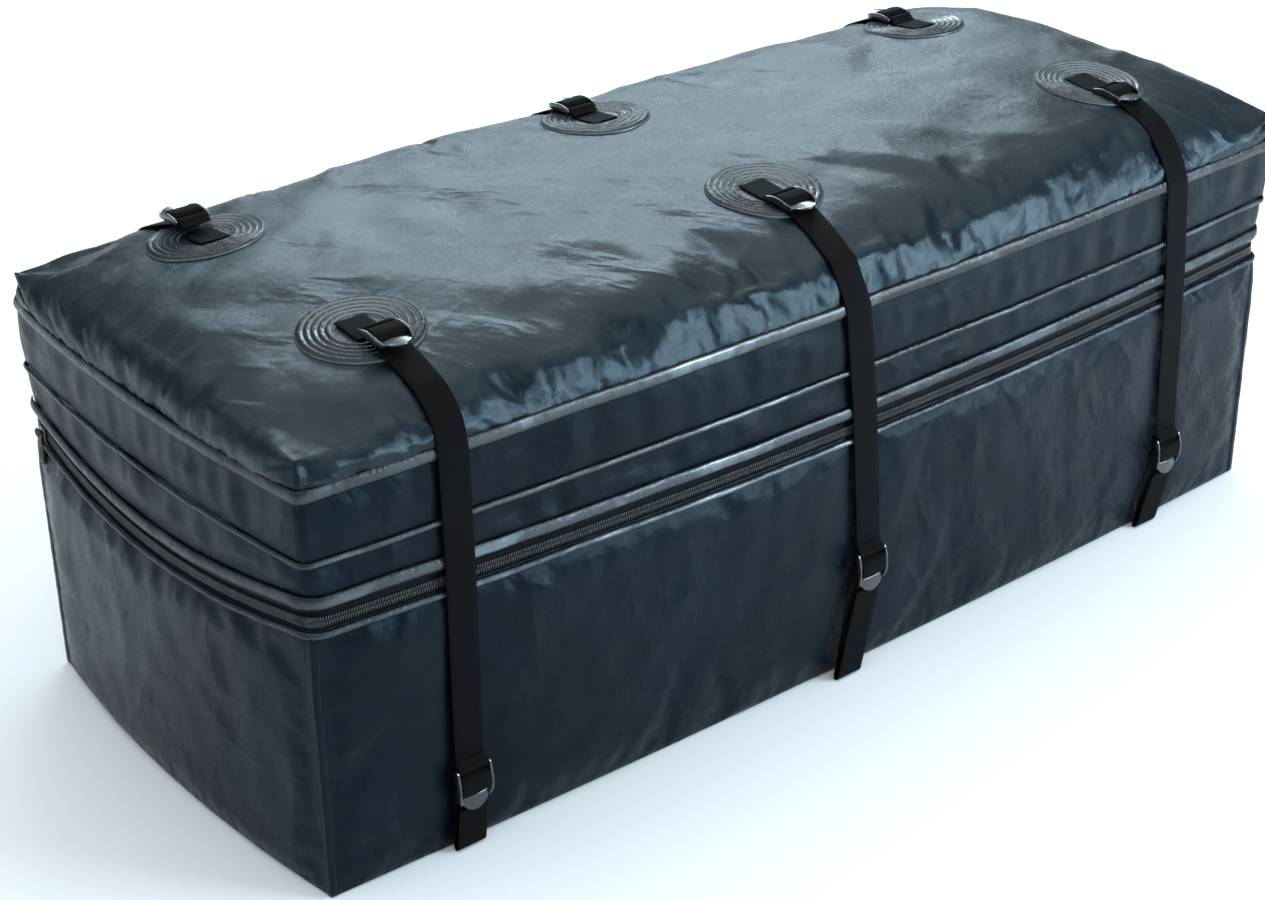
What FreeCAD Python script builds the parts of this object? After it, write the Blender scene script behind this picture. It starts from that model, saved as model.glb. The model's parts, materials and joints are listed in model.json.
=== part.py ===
import FreeCAD, Part
import math
import os
import re
import Sketcher
from FreeCAD import Placement, Rotation, Vector

# Soft cargo bag for a hitch tray. Millimetres, +Z up, origin on the floor at the middle of the base.
# X runs along the bag, the front long face looks towards -Y and the lid turns about the back long edge.

doc = FreeCAD.newDocument("cargo_bag")

# ---------------------------------------------------------------- driving dimensions
SIZES = [
    ("half_length", 750), ("half_width", 305), ("corner_radius", 25),
    ("front_bulge", 28), ("end_bulge", 22), ("end_sag", 25), ("wall", 3),
    ("zip_height", 342), ("zip_gap", 0.6), ("coil_reach", 6.5), ("coil_depth", 2.8),
    ("tape_thickness", 1), ("tape_overlap", 28),
    ("panel_below_zip", 12), ("welt_below_zip", 18.5), ("welt_width", 9), ("welt_depth", 2.5),
    ("gusset_above_zip", 16.5), ("flap_width", 17.5), ("flap_depth", 1.7), ("flap_drop", 1.5),
    ("mid_height", 412), ("mid_welt_width", 7.5), ("mid_welt_depth", 2),
    ("seam_height", 491), ("seam_tape_width", 16), ("seam_tape_depth", 1),
    ("shoulder_height", 532), ("shoulder_depth", 1.2),
    ("dome_height", 569), ("dome_inset", 90), ("crown_height", 580), ("crown_inset", 220), ("crown_bulge", 0.05),
    ("hinge_height", 340), ("hinge_radius", 2.2), ("hinge_clearance", 0.4),
    ("strap_width", 38), ("strap_thickness", 1.6), ("strap_pitch", 560), ("strap_shift", -14),
    ("strap_standoff", 5), ("loop_standoff", 2.2), ("loop_gap", 6),
    ("patch_radius", 70), ("patch_thickness", 2.5), ("patch_row", 160), ("stack_gap", 0.2),
    ("tab_length", 46), ("tab_thickness", 2.4), ("tab_row", 160),
    ("lock_width", 46), ("lock_length", 50), ("lock_plate", 4.5), ("lock_rail", 9),
    ("lock_rail_width", 3.5), ("lock_slot", 7), ("lock_bar", 4), ("thumb_width", 34), ("thumb_height", 13),
    ("top_lock_row", 190), ("top_lock_height", 582.5), ("top_lock_tilt", 8),
    ("low_lock_standoff", 10), ("strap_gap", 8), ("ridge_climb", 4.5), ("strap_lead", 6),
    ("shoulder_lift", 5), ("loop_drop", 4),
    ("slider_length", 16), ("slider_plate", 2), ("slider_gap", 0.6),
    ("slider_flange", 1.5), ("slider_post", 0.5), ("post_length", 4), ("plate_rise", 7), ("slider_park", 262),
    ("bail_radius", 1.2), ("bail_stand", 3.6), ("bail_width", 11), ("ear_width", 2), ("ear_wall", 1),
    ("pull_radius", 2.6), ("pull_clearance", 0.3), ("pull_length", 42), ("pull_width", 14),
    ("neck_thickness", 1.8), ("neck_length", 9), ("pull_thickness", 2.2), ("tab_start", 7),
]
sheet = doc.addObject("Spreadsheet::Sheet", "Sizes")
for row, (alias, value) in enumerate(SIZES, start=1):
    sheet.set(f"A{row}", alias)
    sheet.set(f"B{row}", str(value))
    sheet.setAlias(f"B{row}", alias)
doc.recompute()
ALIASES = {alias for alias, value in SIZES}

# Height of the middle of each lower ladder lock, left to right.
FRONT_LOCK_HEIGHTS = (82, 145, 102)
BACK_LOCK_HEIGHTS = (95, 95, 95)


def bound(expression):
    """The expression with every alias pointed at the sheet."""
    return re.sub(r"[a-z_]+", lambda m: "Sizes." + m[0] if m[0] in ALIASES else m[0], str(expression))


def size(expression):
    """The number that an expression has now."""
    return float(sheet.evalExpression(bound(expression)))


# ---------------------------------------------------------------- helpers for sketches and bodies
def make_body(name):
    body = doc.addObject("PartDesign::Body", name)
    body.Label = name
    return body


def origin_plane(body, role):
    return next(feature for feature in body.Origin.OriginFeatures if feature.Role == role)


def hold_point(sketch, geometry, point, across, along):
    """Bind one sketch point to two expressions measured from the sketch's origin."""
    for kind, expression in (("DistanceX", across), ("DistanceY", along)):
        index = sketch.addConstraint(Sketcher.Constraint(kind, -1, 1, geometry, point, size(expression)))
        sketch.setExpression(f"Constraints[{index}]", bound(expression))


def add_outline(sketch, outline):
    """A closed outline: (x, y) is a line's end and (mid x, mid y, x, y) an arc's."""
    start = outline[0]
    ends = []
    for step in outline[1:]:
        last = Vector(size(start[-2]), size(start[-1]), 0)
        new = Vector(size(step[-2]), size(step[-1]), 0)
        if len(step) == 2:
            index = sketch.addGeometry(Part.LineSegment(last, new), False)
        else:
            middle = Vector(size(step[0]), size(step[1]), 0)
            index = sketch.addGeometry(Part.Arc(last, middle, new), False)
            marker = sketch.addGeometry(Part.Point(middle), True)
            hold_point(sketch, marker, 1, step[0], step[1])
            sketch.addConstraint(Sketcher.Constraint("PointOnObject", marker, 1, index))
        first = 1 if (sketch.getPoint(index, 1) - last).Length < (sketch.getPoint(index, 2) - last).Length else 2
        ends.append((index, first, 3 - first))
        hold_point(sketch, index, 3 - first, step[-2], step[-1])
        start = step
    for (index, first, second), (before, _, before_end) in zip(ends, [ends[-1]] + ends[:-1]):
        sketch.addConstraint(Sketcher.Constraint("Coincident", before, before_end, index, first))


def make_sketch(body, name, role, outlines, height=None):
    sketch = body.newObject("Sketcher::SketchObject", name)
    sketch.AttachmentSupport = (origin_plane(body, role), "")
    sketch.MapMode = "FlatFace"
    for outline in outlines:
        add_outline(sketch, outline)
    if height is not None:
        sketch.setExpression("AttachmentOffset.Base.z", bound(height))
    doc.recompute()
    return sketch


def make_pad(body, sketch, length, both_ways=False):
    pad = body.newObject("PartDesign::Pad", sketch.Name + "_pad")
    pad.Profile = sketch
    pad.setExpression("Length", bound(length))
    if both_ways:
        pad.SideType = "Symmetric"
    sketch.Visibility = False
    doc.recompute()
    return pad


def make_pocket(body, sketch, length):
    """A cut both ways from the sketch, checked to take something away."""
    before = body.Shape.Volume
    pocket = body.newObject("PartDesign::Pocket", sketch.Name + "_cut")
    pocket.Profile = sketch
    pocket.setExpression("Length", bound(length))
    pocket.SideType = "Symmetric"
    doc.recompute()
    if body.Shape.Volume >= before:
        raise RuntimeError(f"{sketch.Name} cuts nothing")
    return pocket


# ---------------------------------------------------------------- plan outlines of the bulged walls
def front_arc(inset, direction=1):
    """The front edge's points, left to right or right to left."""
    line = f"-(half_width - ({inset}))"
    side = f"{direction} * (half_length - corner_radius)"
    return [("0", f"-(half_width + front_bulge - ({inset}))", side, line)]


def end_arc(side, inset, direction):
    """An end's edge, towards +Y or -Y."""
    return [(f"{side} * (half_length + end_bulge - ({inset}))", "0",
             f"{side} * (half_length - ({inset}))", f"{direction} * (half_width - corner_radius)")]


def corner_arc(side, back, inset, towards_end):
    """A rounded corner, ending on the end's edge or on the long edge."""
    reach = f"(corner_radius - ({inset}))"
    middle = (f"{side} * (half_length - corner_radius + {reach} * sqrt(0.5))",
              f"{back} * (half_width - corner_radius + {reach} * sqrt(0.5))")
    if towards_end:
        end = (f"{side} * (half_length - ({inset}))", f"{back} * (half_width - corner_radius)")
    else:
        end = (f"{side} * (half_length - corner_radius)", f"{back} * (half_width - ({inset}))")
    return [middle + end]


def full_outline(inset):
    """The whole plan, anticlockwise from the back of the left end."""
    start = (f"-(half_length - ({inset}))", "half_width - corner_radius")
    return ([start] + end_arc(-1, inset, -1) + corner_arc(-1, -1, inset, False) + front_arc(inset)
            + corner_arc(1, -1, inset, True) + end_arc(1, inset, 1) + corner_arc(1, 1, inset, False)
            + [("-(half_length - corner_radius)", f"half_width - ({inset})")]
            + corner_arc(-1, 1, inset, True))


def three_sides(outer, inner):
    """A strip along the left end, the front and the right end."""
    start = (f"-(half_length - ({outer}))", "half_width - corner_radius")
    out = end_arc(-1, outer, -1) + corner_arc(-1, -1, outer, False) + front_arc(outer)
    out += corner_arc(1, -1, outer, True) + end_arc(1, outer, 1)
    back = [(f"half_length - ({inner})", "half_width - corner_radius")] + end_arc(1, inner, -1)
    back += corner_arc(1, -1, inner, False) + front_arc(inner, -1) + corner_arc(-1, -1, inner, True)
    back += end_arc(-1, inner, 1)
    return [start] + out + back + [start]


def end_strip(side, outer, inner):
    """A strip along one end between its corners."""
    start = (f"{side} * (half_length - ({outer}))", "half_width - corner_radius")
    return ([start] + end_arc(side, outer, -1)
            + [(f"{side} * (half_length - ({inner}))", "-(half_width - corner_radius)")]
            + end_arc(side, inner, 1) + [start])


def long_strip(back, outer, inner, corners):
    """A strip along the front or the back, with or without its corners."""
    if corners:
        start = (f"-(half_length - ({outer}))", f"{back} * (half_width - corner_radius)")
        out = corner_arc(-1, back, outer, False)
    else:
        start = ("-(half_length - corner_radius)", f"{back} * (half_width - ({outer}))")
        out = []
    straight_out = [("half_length - corner_radius", f"{back} * (half_width - ({outer}))")]
    straight_in = [("-(half_length - corner_radius)", f"{back} * (half_width - ({inner}))")]
    out += front_arc(outer) if back < 0 else straight_out
    if corners:
        out += corner_arc(1, back, outer, True)
        out += [(f"half_length - ({inner})", f"{back} * (half_width - corner_radius)")]
        out += corner_arc(1, back, inner, False)
    else:
        out += [("half_length - corner_radius", f"{back} * (half_width - ({inner}))")]
    out += front_arc(inner, -1) if back < 0 else straight_in
    if corners:
        out += corner_arc(-1, back, inner, True)
    return [start] + out + [start]


def corner_strip(side, back, outer, inner):
    start = (f"{side} * (half_length - ({outer}))", f"{back} * (half_width - corner_radius)")
    return ([start] + corner_arc(side, back, outer, False)
            + [(f"{side} * (half_length - corner_radius)", f"{back} * (half_width - ({inner}))")]
            + corner_arc(side, back, inner, True) + [start])


def side_band(low, low_sag, high, high_sag):
    """A band seen from the end. Each edge sags between the corners, or is straight with a sag of 0."""
    reach = "half_width - corner_radius"
    far = "half_width + 2 * front_bulge"
    outline = [(f"-({far})", low)]
    if low_sag != "0":
        outline += [(f"-({reach})", low), ("0", f"{low} - {low_sag}", reach, low)]
    outline += [(far, low), (far, high)]
    if high_sag != "0":
        outline += [(reach, high), ("0", f"{high} - {high_sag}", f"-({reach})", high)]
    outline += [(f"-({far})", high), (f"-({far})", low)]
    return outline


SUB_PARTS = []


def keep(feature, label):
    feature.Label = label
    SUB_PARTS.append(feature)
    return feature


def upright(label, outlines, low, high):
    """A plan outline raised between two heights."""
    body = make_body(label)
    make_pad(body, make_sketch(body, label + "_plan", "XY_Plane", outlines, low), f"({high}) - ({low})")
    return keep(body, label)


def sagging(label, outlines, low, low_sag, high, high_sag):
    """A plan outline cut to a band that sags at the two ends."""
    plan = make_body(label + "_wall")
    make_pad(plan, make_sketch(plan, label + "_plan", "XY_Plane", outlines), "crown_height")
    band = make_body(label + "_band")
    profile = make_sketch(band, label + "_side", "YZ_Plane", [side_band(low, low_sag, high, high_sag)])
    make_pad(band, profile, "4 * half_length", True)
    common = doc.addObject("Part::Common", label)
    common.Base = plan
    common.Tool = band
    doc.recompute()
    return keep(common, label)


# ---------------------------------------------------------------- tub: floor, walls and bindings
upright("tub_floor_panel", [full_outline("wall + stack_gap")], "0", "wall")
panel_top = "zip_height - panel_below_zip"
upright("tub_front_panel", [long_strip(-1, "0", "wall", False)], "0", panel_top)
upright("tub_back_panel", [long_strip(1, "0", "wall", False)], "0", "hinge_height - hinge_radius")
for side, name in ((-1, "left"), (1, "right")):
    sagging(f"tub_{name}_panel", [end_strip(side, "0", "wall")], "0", "0", panel_top, "end_sag")

corners = [corner_strip(side, back, "0", "wall") for side in (-1, 1) for back in (-1, 1)]
upright("tub_corner_bindings", corners, "0", panel_top)
sagging("tub_top_welt", [three_sides("-welt_depth", "0")],
        "zip_height - welt_below_zip", "end_sag", "zip_height - welt_below_zip + welt_width", "end_sag")

hinge_line = "half_width - wall / 2"
piping = doc.addObject("Part::Cylinder", "back_hinge_piping")
piping.setExpression("Radius", bound("hinge_radius"))
piping.setExpression("Height", bound("2 * (half_length - corner_radius)"))
piping.Placement = Placement(Vector(-size("half_length - corner_radius"), size(hinge_line), size("hinge_height")),
                             Rotation(Vector(0, 1, 0), 90))
keep(piping, "back_hinge_piping")

# ---------------------------------------------------------------- zipper: two tapes and two coils
tape_inset = ("wall", "wall + tape_thickness")
coil_inset = ("wall - coil_depth", "wall")
sagging("zipper_tape_lower", [three_sides(*tape_inset)],
        "zip_height - tape_overlap", "end_sag", "zip_height - zip_gap", "end_sag")
sagging("zipper_coil_lower", [three_sides(*coil_inset)],
        "zip_height - coil_reach", "end_sag", "zip_height - zip_gap", "end_sag")
sagging("zipper_tape_upper", [three_sides(*tape_inset)],
        "zip_height + zip_gap", "end_sag", "zip_height + tape_overlap", "end_sag")
sagging("zipper_coil_upper", [three_sides(*coil_inset)],
        "zip_height + zip_gap", "end_sag", "zip_height + coil_reach", "end_sag")

# ---------------------------------------------------------------- lid: gusset, bands, tapes and crown
gusset_low = "zip_height + gusset_above_zip"
ring = [full_outline("0"), full_outline("wall")]
sagging("gusset_band", ring, gusset_low, "end_sag", "mid_height", "0")
upright("back_hinge_band", [long_strip(1, "0", "wall", False)],
        "hinge_height + hinge_radius + hinge_clearance", gusset_low)
sagging("rain_flap", [three_sides("-flap_depth", "0")],
        "zip_height + gusset_above_zip - flap_drop", "end_sag", "zip_height + gusset_above_zip + flap_width", "end_sag")
upright("mid_welt", [full_outline("-mid_welt_depth"), full_outline("0")],
        "mid_height - mid_welt_width / 2", "mid_height + mid_welt_width / 2")
upright("upper_front_band", [long_strip(-1, "0", "wall", True)], "mid_height", "shoulder_height")
upright("upper_back_band", [long_strip(1, "0", "wall", True)], "mid_height", "shoulder_height")
upright("upper_left_band", [end_strip(-1, "0", "wall")], "mid_height", "shoulder_height")
upright("upper_right_band", [end_strip(1, "0", "wall")], "mid_height", "shoulder_height")
upright("top_seam_tape", [full_outline("-seam_tape_depth"), full_outline("0")],
        "seam_height - seam_tape_width / 2", "seam_height + seam_tape_width / 2")
upright("shoulder_band", [full_outline("-shoulder_depth"), full_outline("0")],
        "seam_height + seam_tape_width / 2", "shoulder_height")


def crown_outline(inset, bulge):
    """The plan drawn in by an inset, with its corners as round as at the shoulder and a share of the bulge."""
    side, line = f"(half_length - ({inset}))", f"(half_width - ({inset}))"
    bend = "corner_radius * (1 - sqrt(0.5))"
    near = [(f"-({side} - {bend})", f"-({line} - {bend})", f"-({side} - corner_radius)", f"-{line}")]
    far = [(f"{side} - {bend}", f"-({line} - {bend})", side, f"-({line} - corner_radius)")]
    start = (f"-{side}", f"{line} - corner_radius")
    left = [(f"-({side} + {bulge} * end_bulge)", "0", f"-{side}", f"-({line} - corner_radius)")]
    front = [("0", f"-({line} + {bulge} * front_bulge)", f"{side} - corner_radius", f"-{line}")]
    right = [(f"{side} + {bulge} * end_bulge", "0", side, f"{line} - corner_radius")]
    back = [(f"{side} - {bend}", f"{line} - {bend}", f"{side} - corner_radius", line),
            (f"-({side} - corner_radius)", line), (f"-({side} - {bend})", f"{line} - {bend}") + start]
    return [start] + left + near + front + far + right + back


def dome_loft(body, kind, name, levels):
    """A loft through the plan at several insets, adding or taking away."""
    sections = [make_sketch(body, f"{name}_{n}", "XY_Plane", [crown_outline(inset, bulge)], height)
                for n, (inset, height, bulge) in enumerate(levels)]
    loft = body.newObject(kind, name)
    loft.Profile = sections[0]
    loft.Sections = sections[1:]
    loft.Ruled = True
    doc.recompute()


top_panel = make_body("lid_top_panel")
dome_loft(top_panel, "PartDesign::AdditiveLoft", "dome_outside",
          [("0", "shoulder_height", 1), ("dome_inset", "dome_height", "crown_bulge"),
           ("crown_inset", "crown_height", "crown_bulge")])
dome_loft(top_panel, "PartDesign::SubtractiveLoft", "dome_inside",
          [("wall", "shoulder_height", 1), ("dome_inset + wall / 2", "dome_height - wall", "crown_bulge"),
           ("crown_inset", "crown_height - wall", "crown_bulge")])
keep(top_panel, "lid_top_panel")


# ---------------------------------------------------------------- patches and sewn tabs on the crown
def strap_x(column):
    return f"strap_shift + ({column}) * strap_pitch"


def front_reach(column):
    """How far the front wall stands out at a strap, on the front edge's arc."""
    chord = "(half_length - corner_radius)"
    radius = f"(({chord}^2 + front_bulge^2) / (2 * front_bulge))"
    return f"(half_width + front_bulge - {radius} + sqrt({radius}^2 - ({strap_x(column)})^2))"


CROWN_SLOPE = math.degrees(math.atan(size("(crown_height - dome_height) / (crown_inset - dome_inset)")))


def crown_place(column, row_side, row, lift):
    """A place on the crown's sloping border, turned so that its own +Z leaves the fabric."""
    drop = size("crown_height") - math.tan(math.radians(CROWN_SLOPE)) * (row - size("half_width - crown_inset"))
    turn = Rotation(Vector(1, 0, 0), -row_side * CROWN_SLOPE)
    lifted = turn.multVec(Vector(0, 0, lift))
    return Placement(Vector(size(strap_x(column)), row_side * row, drop) + lifted, turn)


def group(label, shapes):
    feature = doc.addObject("Part::Feature", label)
    feature.Shape = Part.makeCompound(shapes)
    doc.recompute()
    return keep(feature, label)


STATIONS = [(column, row_side) for row_side in (-1, 1) for column in (-1, 0, 1)]
patch = Part.makeCylinder(size("patch_radius"), size("patch_thickness"))
tab = Part.makeBox(size("strap_width"), size("tab_length"), size("tab_thickness"),
                   Vector(-size("strap_width") / 2, -size("tab_length") / 2, 0))
patches = []
tabs = []
for column, row_side in STATIONS:
    lift = size("stack_gap")
    patches.append(patch.transformed(crown_place(column, row_side, size("patch_row"), lift).toMatrix()))
    lift += size("patch_thickness + stack_gap")
    tabs.append(tab.transformed(crown_place(column, row_side, size("tab_row"), lift).toMatrix()))
group("strap_patches", patches)
group("strap_tabs", tabs)


# ---------------------------------------------------------------- straps
def strap(label, column, profile):
    """A strip of webbing drawn from the side and as wide as the strap."""
    body = make_body(label)
    make_pad(body, make_sketch(body, label + "_side", "YZ_Plane", [profile]), "strap_width", True)
    body.Placement = Placement(Vector(size(strap_x(column)), 0, 0), Rotation())
    return keep(body, label)


def upper_profile(side, face, end_height):
    """From under the top lock, over the shoulder and down the face."""
    inner = f"({face} + strap_standoff)"
    outer = f"({face} + strap_standoff + strap_thickness)"
    start_row = "top_lock_row + strap_lead"
    ridge = "patch_row + patch_radius + 3"
    top = "dome_height + patch_thickness"
    rows = [(start_row, f"{top} + ridge_climb"), (ridge, top), (f"{inner}", "shoulder_height + shoulder_lift"),
            (inner, end_height), (outer, end_height), (outer, "shoulder_height + shoulder_lift + 1"),
            (ridge, f"{top} + strap_thickness"), (start_row, f"{top} + ridge_climb + strap_thickness"),
            (start_row, f"{top} + ridge_climb")]
    return [(f"{side} * ({across})", along) for across, along in rows]


def loop_profile(side, face, inner_top, outer_top):
    """Down behind the lock, round a slot for the tray's rail and up again in front."""
    depth = {0: f"({face} + loop_standoff)"}
    depth[1] = f"({face} + loop_standoff + strap_thickness)"
    depth[2] = f"({face} + loop_standoff + strap_thickness + loop_gap)"
    depth[3] = f"({face} + loop_standoff + 2 * strap_thickness + loop_gap)"
    centre = f"({face} + loop_standoff + strap_thickness + loop_gap / 2)"
    bend = "(loop_gap / 2 + strap_thickness + stack_gap)"
    reach = [f"{side} * {depth[n]}" for n in range(4)]
    return [(reach[0], inner_top), (reach[0], bend),
            (f"{side} * {centre}", "stack_gap", reach[3], bend), (reach[3], outer_top),
            (reach[2], outer_top), (reach[2], bend),
            (f"{side} * {centre}", "strap_thickness + stack_gap", reach[1], bend),
            (reach[1], inner_top), (reach[0], inner_top)]


NAMES = {(-1, -1): "front_left", (0, -1): "front_middle", (1, -1): "front_right",
         (-1, 1): "back_left", (0, 1): "back_middle", (1, 1): "back_right"}
for (column, row_side), name in NAMES.items():
    if row_side < 0:
        face = front_reach(column)
        lock_height = FRONT_LOCK_HEIGHTS[column + 1]
        end_height = f"{lock_height} + lock_length / 2 + strap_gap"
        inner_top = f"{lock_height} + lock_length / 2"
    else:
        face = "half_width"
        lock_height = BACK_LOCK_HEIGHTS[column + 1]
        end_height = "hinge_height + strap_gap + 2"
        inner_top = "hinge_height - strap_gap - 6"
    strap(name + "_strap", column, upper_profile(row_side, face, end_height))
    outer_top = f"{lock_height} - lock_length / 2 - loop_drop"
    strap(name + "_loop", column, loop_profile(row_side, face, inner_top, outer_top))


# ---------------------------------------------------------------- ladder locks
def ladder_lock(label, place):
    """Anchor bar on the own X axis, thumb end towards own +Y, own +Z away from the fabric."""
    body = make_body(label)
    half = "lock_width / 2"
    thumb_line = "lock_length - lock_bar / 2 - thumb_height"
    plate = [(f"-({half})", "-lock_bar"), (half, "-lock_bar"), (half, thumb_line),
             ("thumb_width / 2", "lock_length - lock_bar"), ("-thumb_width / 2", "lock_length - lock_bar"),
             (f"-({half})", thumb_line), (f"-({half})", "-lock_bar")]
    make_pad(body, make_sketch(body, label + "_plate", "XY_Plane", [plate], "-lock_plate / 2"), "lock_plate")
    slots = []
    for start in ("lock_bar / 2", "lock_bar * 1.5 + lock_slot"):
        inner = "(lock_width / 2 - lock_rail_width)"
        slots.append([(f"-{inner}", start), (inner, start), (inner, f"{start} + lock_slot"),
                      (f"-{inner}", f"{start} + lock_slot"), (f"-{inner}", start)])
    make_pocket(body, make_sketch(body, label + "_slots", "XY_Plane", slots), "4 * lock_plate")
    rail = [("-lock_bar", "0"), (thumb_line, "0"), (thumb_line, "lock_rail - lock_plate / 2"),
            ("lock_bar", "lock_rail - lock_plate / 2"), ("-lock_bar", "0")]
    for edge in (-1, 1):
        rail_sketch = make_sketch(body, f"{label}_rail_{edge + 1}", "YZ_Plane", [rail],
                                  f"{edge} * (lock_width - lock_rail_width) / 2")
        make_pad(body, rail_sketch, "lock_rail_width", True)
    body.Placement = place
    return keep(body, label)


for (column, row_side), name in NAMES.items():
    facing = Rotation(Vector(0, 0, 1), 180 if row_side < 0 else 0)
    tilt = Rotation(Vector(1, 0, 0), size("top_lock_tilt"))
    bar = Vector(size(strap_x(column)), row_side * size("top_lock_row"), size("top_lock_height"))
    ladder_lock(name + "_top_lock", Placement(bar, facing * tilt))
    face = size(front_reach(column)) if row_side < 0 else size("half_width")
    height = (FRONT_LOCK_HEIGHTS if row_side < 0 else BACK_LOCK_HEIGHTS)[column + 1]
    bar = Vector(size(strap_x(column)), row_side * (face + size("low_lock_standoff")),
                 height + size("lock_length / 2 - lock_bar"))
    hanging = Rotation(Vector(1, 0, 0), -90)
    # Own +Y points down and own +Z away from the wall.
    ladder_lock(name + "_low_lock", Placement(bar, facing * hanging))


# ---------------------------------------------------------------- zipper sliders and pull tabs
def slider_axis(side):
    """Middle, axis direction and centre of the arc that the zipper follows along an end."""
    chord = size("half_width - corner_radius")
    bulge, sag = size("end_bulge"), size("end_sag")
    rise = math.hypot(bulge, sag)
    radius = (chord ** 2 + rise ** 2) / (2 * rise)
    middle = Vector(side * size("half_length + end_bulge - wall + coil_depth / 2"), 0, size("zip_height - end_sag"))
    inward = Vector(-side * bulge / rise, 0, sag / rise)
    axis = Vector(0, 1, 0).cross(inward)
    park = math.degrees(math.asin(size("slider_park") / radius))
    return middle, middle + inward * radius, axis, park


def box_between(body, name, x_low, x_high, z_low, z_high, length):
    outline = [(x_low, z_low), (x_high, z_low), (x_high, z_high), (x_low, z_high), (x_low, z_low)]
    make_pad(body, make_sketch(body, name, "XZ_Plane", [outline]), length, True)


def slider_front(label, side):
    """The front plate with a flange under the lower coil and two ears that carry the bail."""
    body = make_body(label)
    plate_in = "(coil_depth / 2 + slider_gap)"
    plate_out = f"({plate_in} + slider_plate)"
    ear_out = f"({plate_out} + bail_stand + bail_radius)"
    low = "-(coil_reach + slider_gap + slider_flange)"
    box_between(body, label + "_plate", f"{side} * {plate_in}", f"{side} * {plate_out}", low, "plate_rise",
                "slider_length")
    box_between(body, label + "_flange", f"-{side} * (coil_depth / 2 - slider_gap)", f"{side} * {plate_out}", low,
                f"{low} + slider_flange", "slider_length")
    ear_half = "(bail_radius + ear_wall)"
    for edge in (-1, 1):
        ear = [(f"{side} * {plate_in}", f"-{ear_half}"), (f"{side} * {ear_out}", f"-{ear_half}"),
               (f"{side} * {ear_out}", ear_half), (f"{side} * {plate_in}", ear_half),
               (f"{side} * {plate_in}", f"-{ear_half}")]
        sketch = make_sketch(body, f"{label}_ear_{edge + 1}", "XZ_Plane", [ear], f"{edge} * (bail_width - ear_width) / 2")
        make_pad(body, sketch, "ear_width", True)
    bail = body.newObject("PartDesign::AdditiveCylinder", label + "_bail")
    bail.setExpression("Radius", bound("bail_radius"))
    bail.setExpression("Height", bound("bail_width"))
    bail.Placement = Placement(Vector(side * size(f"{plate_out} + bail_stand"), size("bail_width") / 2, 0),
                               Rotation(Vector(1, 0, 0), 90))
    doc.recompute()
    return keep(body, label)


def slider_rear(label, side):
    """The rear plate behind the tapes, with the thin post that joins it to the front plate between the coils."""
    body = make_body(label)
    plate_in = "(coil_depth / 2 + tape_thickness + slider_gap)"
    plate_out = f"({plate_in} + slider_plate)"
    low = "-(coil_reach + slider_gap + slider_flange)"
    box_between(body, label + "_plate", f"-{side} * {plate_in}", f"-{side} * {plate_out}", low, "plate_rise",
                "slider_length")
    box_between(body, label + "_post", f"-{side} * {plate_out}", f"{side} * (coil_depth / 2 + slider_gap)",
                "-slider_post / 2", "slider_post / 2", "post_length")
    return keep(body, label)


def pull_tab(label, side):
    """A barrel that turns on the slider's bail, and a flat tab that hangs from it."""
    body = make_body(label)
    bail_x = "(coil_depth / 2 + slider_gap + slider_plate + bail_stand)"
    barrel = body.newObject("PartDesign::AdditiveCylinder", label + "_barrel")
    barrel.setExpression("Radius", bound("pull_radius"))
    barrel.setExpression("Height", bound("bail_width - 2 * ear_width - 2 * pull_clearance"))
    half = size("bail_width / 2 - ear_width - pull_clearance")
    barrel.Placement = Placement(Vector(side * size(bail_x), half, 0), Rotation(Vector(1, 0, 0), 90))
    doc.recompute()
    neck = "(bail_width - 2 * ear_width - 2 * pull_clearance)"
    box_between(body, label + "_neck", f"{side} * ({bail_x} - neck_thickness / 2)",
                f"{side} * ({bail_x} + neck_thickness / 2)", "-neck_length", "0", neck)
    box_between(body, label + "_tab", f"{side} * ({bail_x} - pull_thickness / 2)",
                f"{side} * ({bail_x} + pull_thickness / 2)", "-pull_length", "-tab_start", "pull_width")
    hole = body.newObject("PartDesign::SubtractiveCylinder", label + "_hole")
    hole.setExpression("Radius", bound("bail_radius + pull_clearance"))
    hole.setExpression("Height", bound("2 * bail_width"))
    hole.Placement = Placement(Vector(side * size(bail_x), size("bail_width"), 0), Rotation(Vector(1, 0, 0), 90))
    doc.recompute()
    return keep(body, label)


for side, name in ((-1, "left"), (1, "right")):
    middle, centre, axis, park = slider_axis(side)
    # Turned about the zipper's own arc until it is parked at the back corner.
    lift = Rotation(axis, park)
    if lift.multVec(middle - centre).y < 0:
        lift = Rotation(axis, -park)
    home = Placement(centre + lift.multVec(middle - centre), lift)
    for maker, label in ((slider_front, f"{name}_zip_slider"), (slider_rear, f"{name}_slider_rear"),
                         (pull_tab, f"{name}_zip_pull")):
        maker(label, side).Placement = home

# ---------------------------------------------------------------- checks and files
doc.recompute()
for item in doc.Objects:
    if "Invalid" in item.State or "Error" in item.State:
        raise RuntimeError(f"{item.Label} failed: {item.State}")
os.makedirs("parts", exist_ok=True)
for part in SUB_PARTS:
    shape = part.Shape
    if shape.isNull() or not shape.isValid() or shape.Volume <= 0:
        raise RuntimeError(f"{part.Label} has no sound shape")
    shape.exportStep(f"parts/{part.Label}.step")
print(len(SUB_PARTS), "sub-parts")
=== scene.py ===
import json
import math

import bpy
import numpy as np
from mathutils import Matrix, Vector, noise
from mathutils.bvhtree import BVHTree


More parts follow.
